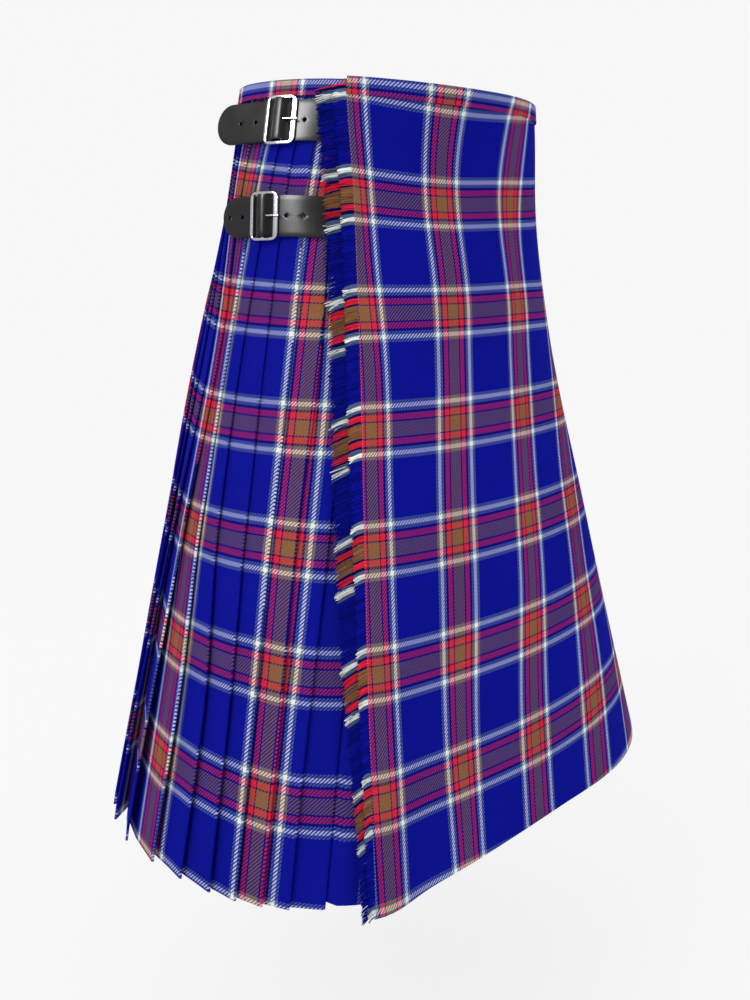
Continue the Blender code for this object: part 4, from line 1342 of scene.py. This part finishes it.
class KILT_OT_stage(Operator):
    """Make the floor, the lights and the camera"""

    bl_idname = "kilt.stage"
    bl_label = "Stage"

    def execute(self, context):
        settings = context.scene.kilt_stage
        context.scene.view_settings.view_transform = "Standard"
        self.make_floor(settings)
        world = bpy.data.worlds.new("studio")
        world.use_nodes = True
        background = world.node_tree.nodes["Background"]
        background.inputs["Color"].default_value = (1.0, 1.0, 1.0, 1.0)
        background.inputs["Strength"].default_value = settings.world
        context.scene.world = world
        for light in LIGHTS:
            self.make_light(settings, *light)
        self.make_camera(context)
        return {"FINISHED"}

    def make_floor(self, settings):
        """A pale bowl: flat in the middle, rising softly all round."""
        material, tree, shader = principled("studio_floor", 0.9, specular=0.0)
        feed(tree, shader.inputs["Base Color"], (*settings.floor, 1.0))
        feed(tree, shader.inputs["Emission Color"], (1.0, 1.0, 1.0, 1.0))
        feed(tree, shader.inputs["Emission Strength"], settings.glow)
        base = CAD_BOX[0][2] - settings.drop
        turns = np.linspace(0.15, math.pi / 2, 12)
        bend = [(FLOOR_FLAT + FLOOR_BEND * math.sin(t), FLOOR_BEND * (1 - math.cos(t))) for t in turns]
        rings = [(FLOOR_FLAT, 0.0), *bend, (FLOOR_FLAT + FLOOR_BEND, FLOOR_TOP)]
        verts, faces = [(0.0, 0.0, base)], []
        for radius, height in rings:
            for turn in np.arange(FLOOR_SIDES) * 2 * math.pi / FLOOR_SIDES:
                verts.append((radius * math.cos(turn), radius * math.sin(turn), base + height))
        for k in range(FLOOR_SIDES):
            after = (k + 1) % FLOOR_SIDES
            faces.append((0, 1 + k, 1 + after))
            for a in range(1, 1 + (len(rings) - 1) * FLOOR_SIDES, FLOOR_SIDES):
                b = a + FLOOR_SIDES
                faces.append((a + k, b + k, b + after, a + after))
        mesh = bpy.data.meshes.new("floor")
        mesh.from_pydata(verts, [], faces)
        mesh.materials.append(material)
        mesh.shade_smooth()
        link("floor", mesh)

    def make_light(self, settings, name, degrees, distance, height, width, depth, setting, share):
        power = getattr(settings, setting) * share
        data = bpy.data.lights.new(name, "AREA")
        assign(data, shape="RECTANGLE", size=width, size_y=depth, energy=power)
        light = assign(link(name, data), visible_diffuse=name != "sheen")
        turn = math.radians(degrees)
        light.location = (-distance * math.sin(turn), -distance * math.cos(turn), height)
        light.rotation_euler = (LIGHT_AIM - light.location).to_track_quat("-Z", "Y").to_euler()

    def make_camera(self, context):
        ahead = Vector((math.sin(VIEW_ANGLE), math.cos(VIEW_ANGLE), 0.0))
        right = Vector((math.cos(VIEW_ANGLE), -math.sin(VIEW_ANGLE), 0.0))
        up = Vector((0.0, 0.0, 1.0))
        look = ahead * math.cos(VIEW_PITCH) - up * math.sin(VIEW_PITCH)
        top = up * math.cos(VIEW_PITCH) + ahead * math.sin(VIEW_PITCH)
        side = right * math.cos(VIEW_ROLL) + top * math.sin(VIEW_ROLL)
        top = top * math.cos(VIEW_ROLL) - right * math.sin(VIEW_ROLL)
        data = bpy.data.cameras.new("camera")
        assign(data, sensor_fit="VERTICAL", sensor_height=SENSOR, lens=VIEW_LENS * SENSOR)
        camera = link("camera", assign(data, clip_start=0.01, clip_end=40.0))
        matrix = Matrix((side, top, -look)).transposed().to_4x4()
        matrix.translation = -ahead * VIEW_DISTANCE + up * VIEW_HEIGHT - right * VIEW_ASIDE
        camera.matrix_world = matrix
        context.scene.camera = camera


class KILT_PT_panel(Panel):
    """Sizes, colours and the steps that make the kilt"""

    bl_label = "Kilt"
    bl_idname = "KILT_PT_panel"
    bl_space_type = "VIEW_3D"
    bl_region_type = "UI"
    bl_category = "Kilt"

    def draw(self, context):
        for attribute, title, _ in SETTINGS:
            box = self.layout.box()
            box.label(text=title)
            settings = getattr(context.scene, attribute)
            for name in settings.bl_rna.properties.keys():
                if name not in ("name", "rna_type"):
                    box.prop(settings, name)
        for step in STEPS:
            self.layout.operator(step.bl_idname)


STEPS = (
    KILT_OT_over_apron, KILT_OT_under_apron, KILT_OT_pleats, KILT_OT_waistband, KILT_OT_fringe,
    KILT_OT_stitches, KILT_OT_straps, KILT_OT_buckles, KILT_OT_stage,
)
SETTINGS = (
    ("kilt_cloth", "Cloth", ClothSettings), ("kilt_fringe", "Fringe", FringeSettings),
    ("kilt_fittings", "Fittings", FittingSettings), ("kilt_stage", "Stage", StageSettings),
)


def register():
    for attribute, _, group in SETTINGS:
        bpy.utils.register_class(group)
        setattr(bpy.types.Scene, attribute, PointerProperty(type=group))
    for step in STEPS:
        bpy.utils.register_class(step)
    bpy.utils.register_class(KILT_PT_panel)


def unregister():
    bpy.utils.unregister_class(KILT_PT_panel)
    for step in reversed(STEPS):
        bpy.utils.unregister_class(step)
    for attribute, _, group in reversed(SETTINGS):
        delattr(bpy.types.Scene, attribute)
        bpy.utils.unregister_class(group)


def main():
    register()
    bpy.ops.kilt.stage()
    bpy.ops.kilt.over_apron()
    bpy.ops.kilt.under_apron()
    bpy.ops.kilt.pleats()
    bpy.ops.kilt.waistband()
    bpy.ops.kilt.fringe()
    bpy.ops.kilt.stitches()
    bpy.ops.kilt.straps()
    bpy.ops.kilt.buckles()


if __name__ == "__main__":
    main()
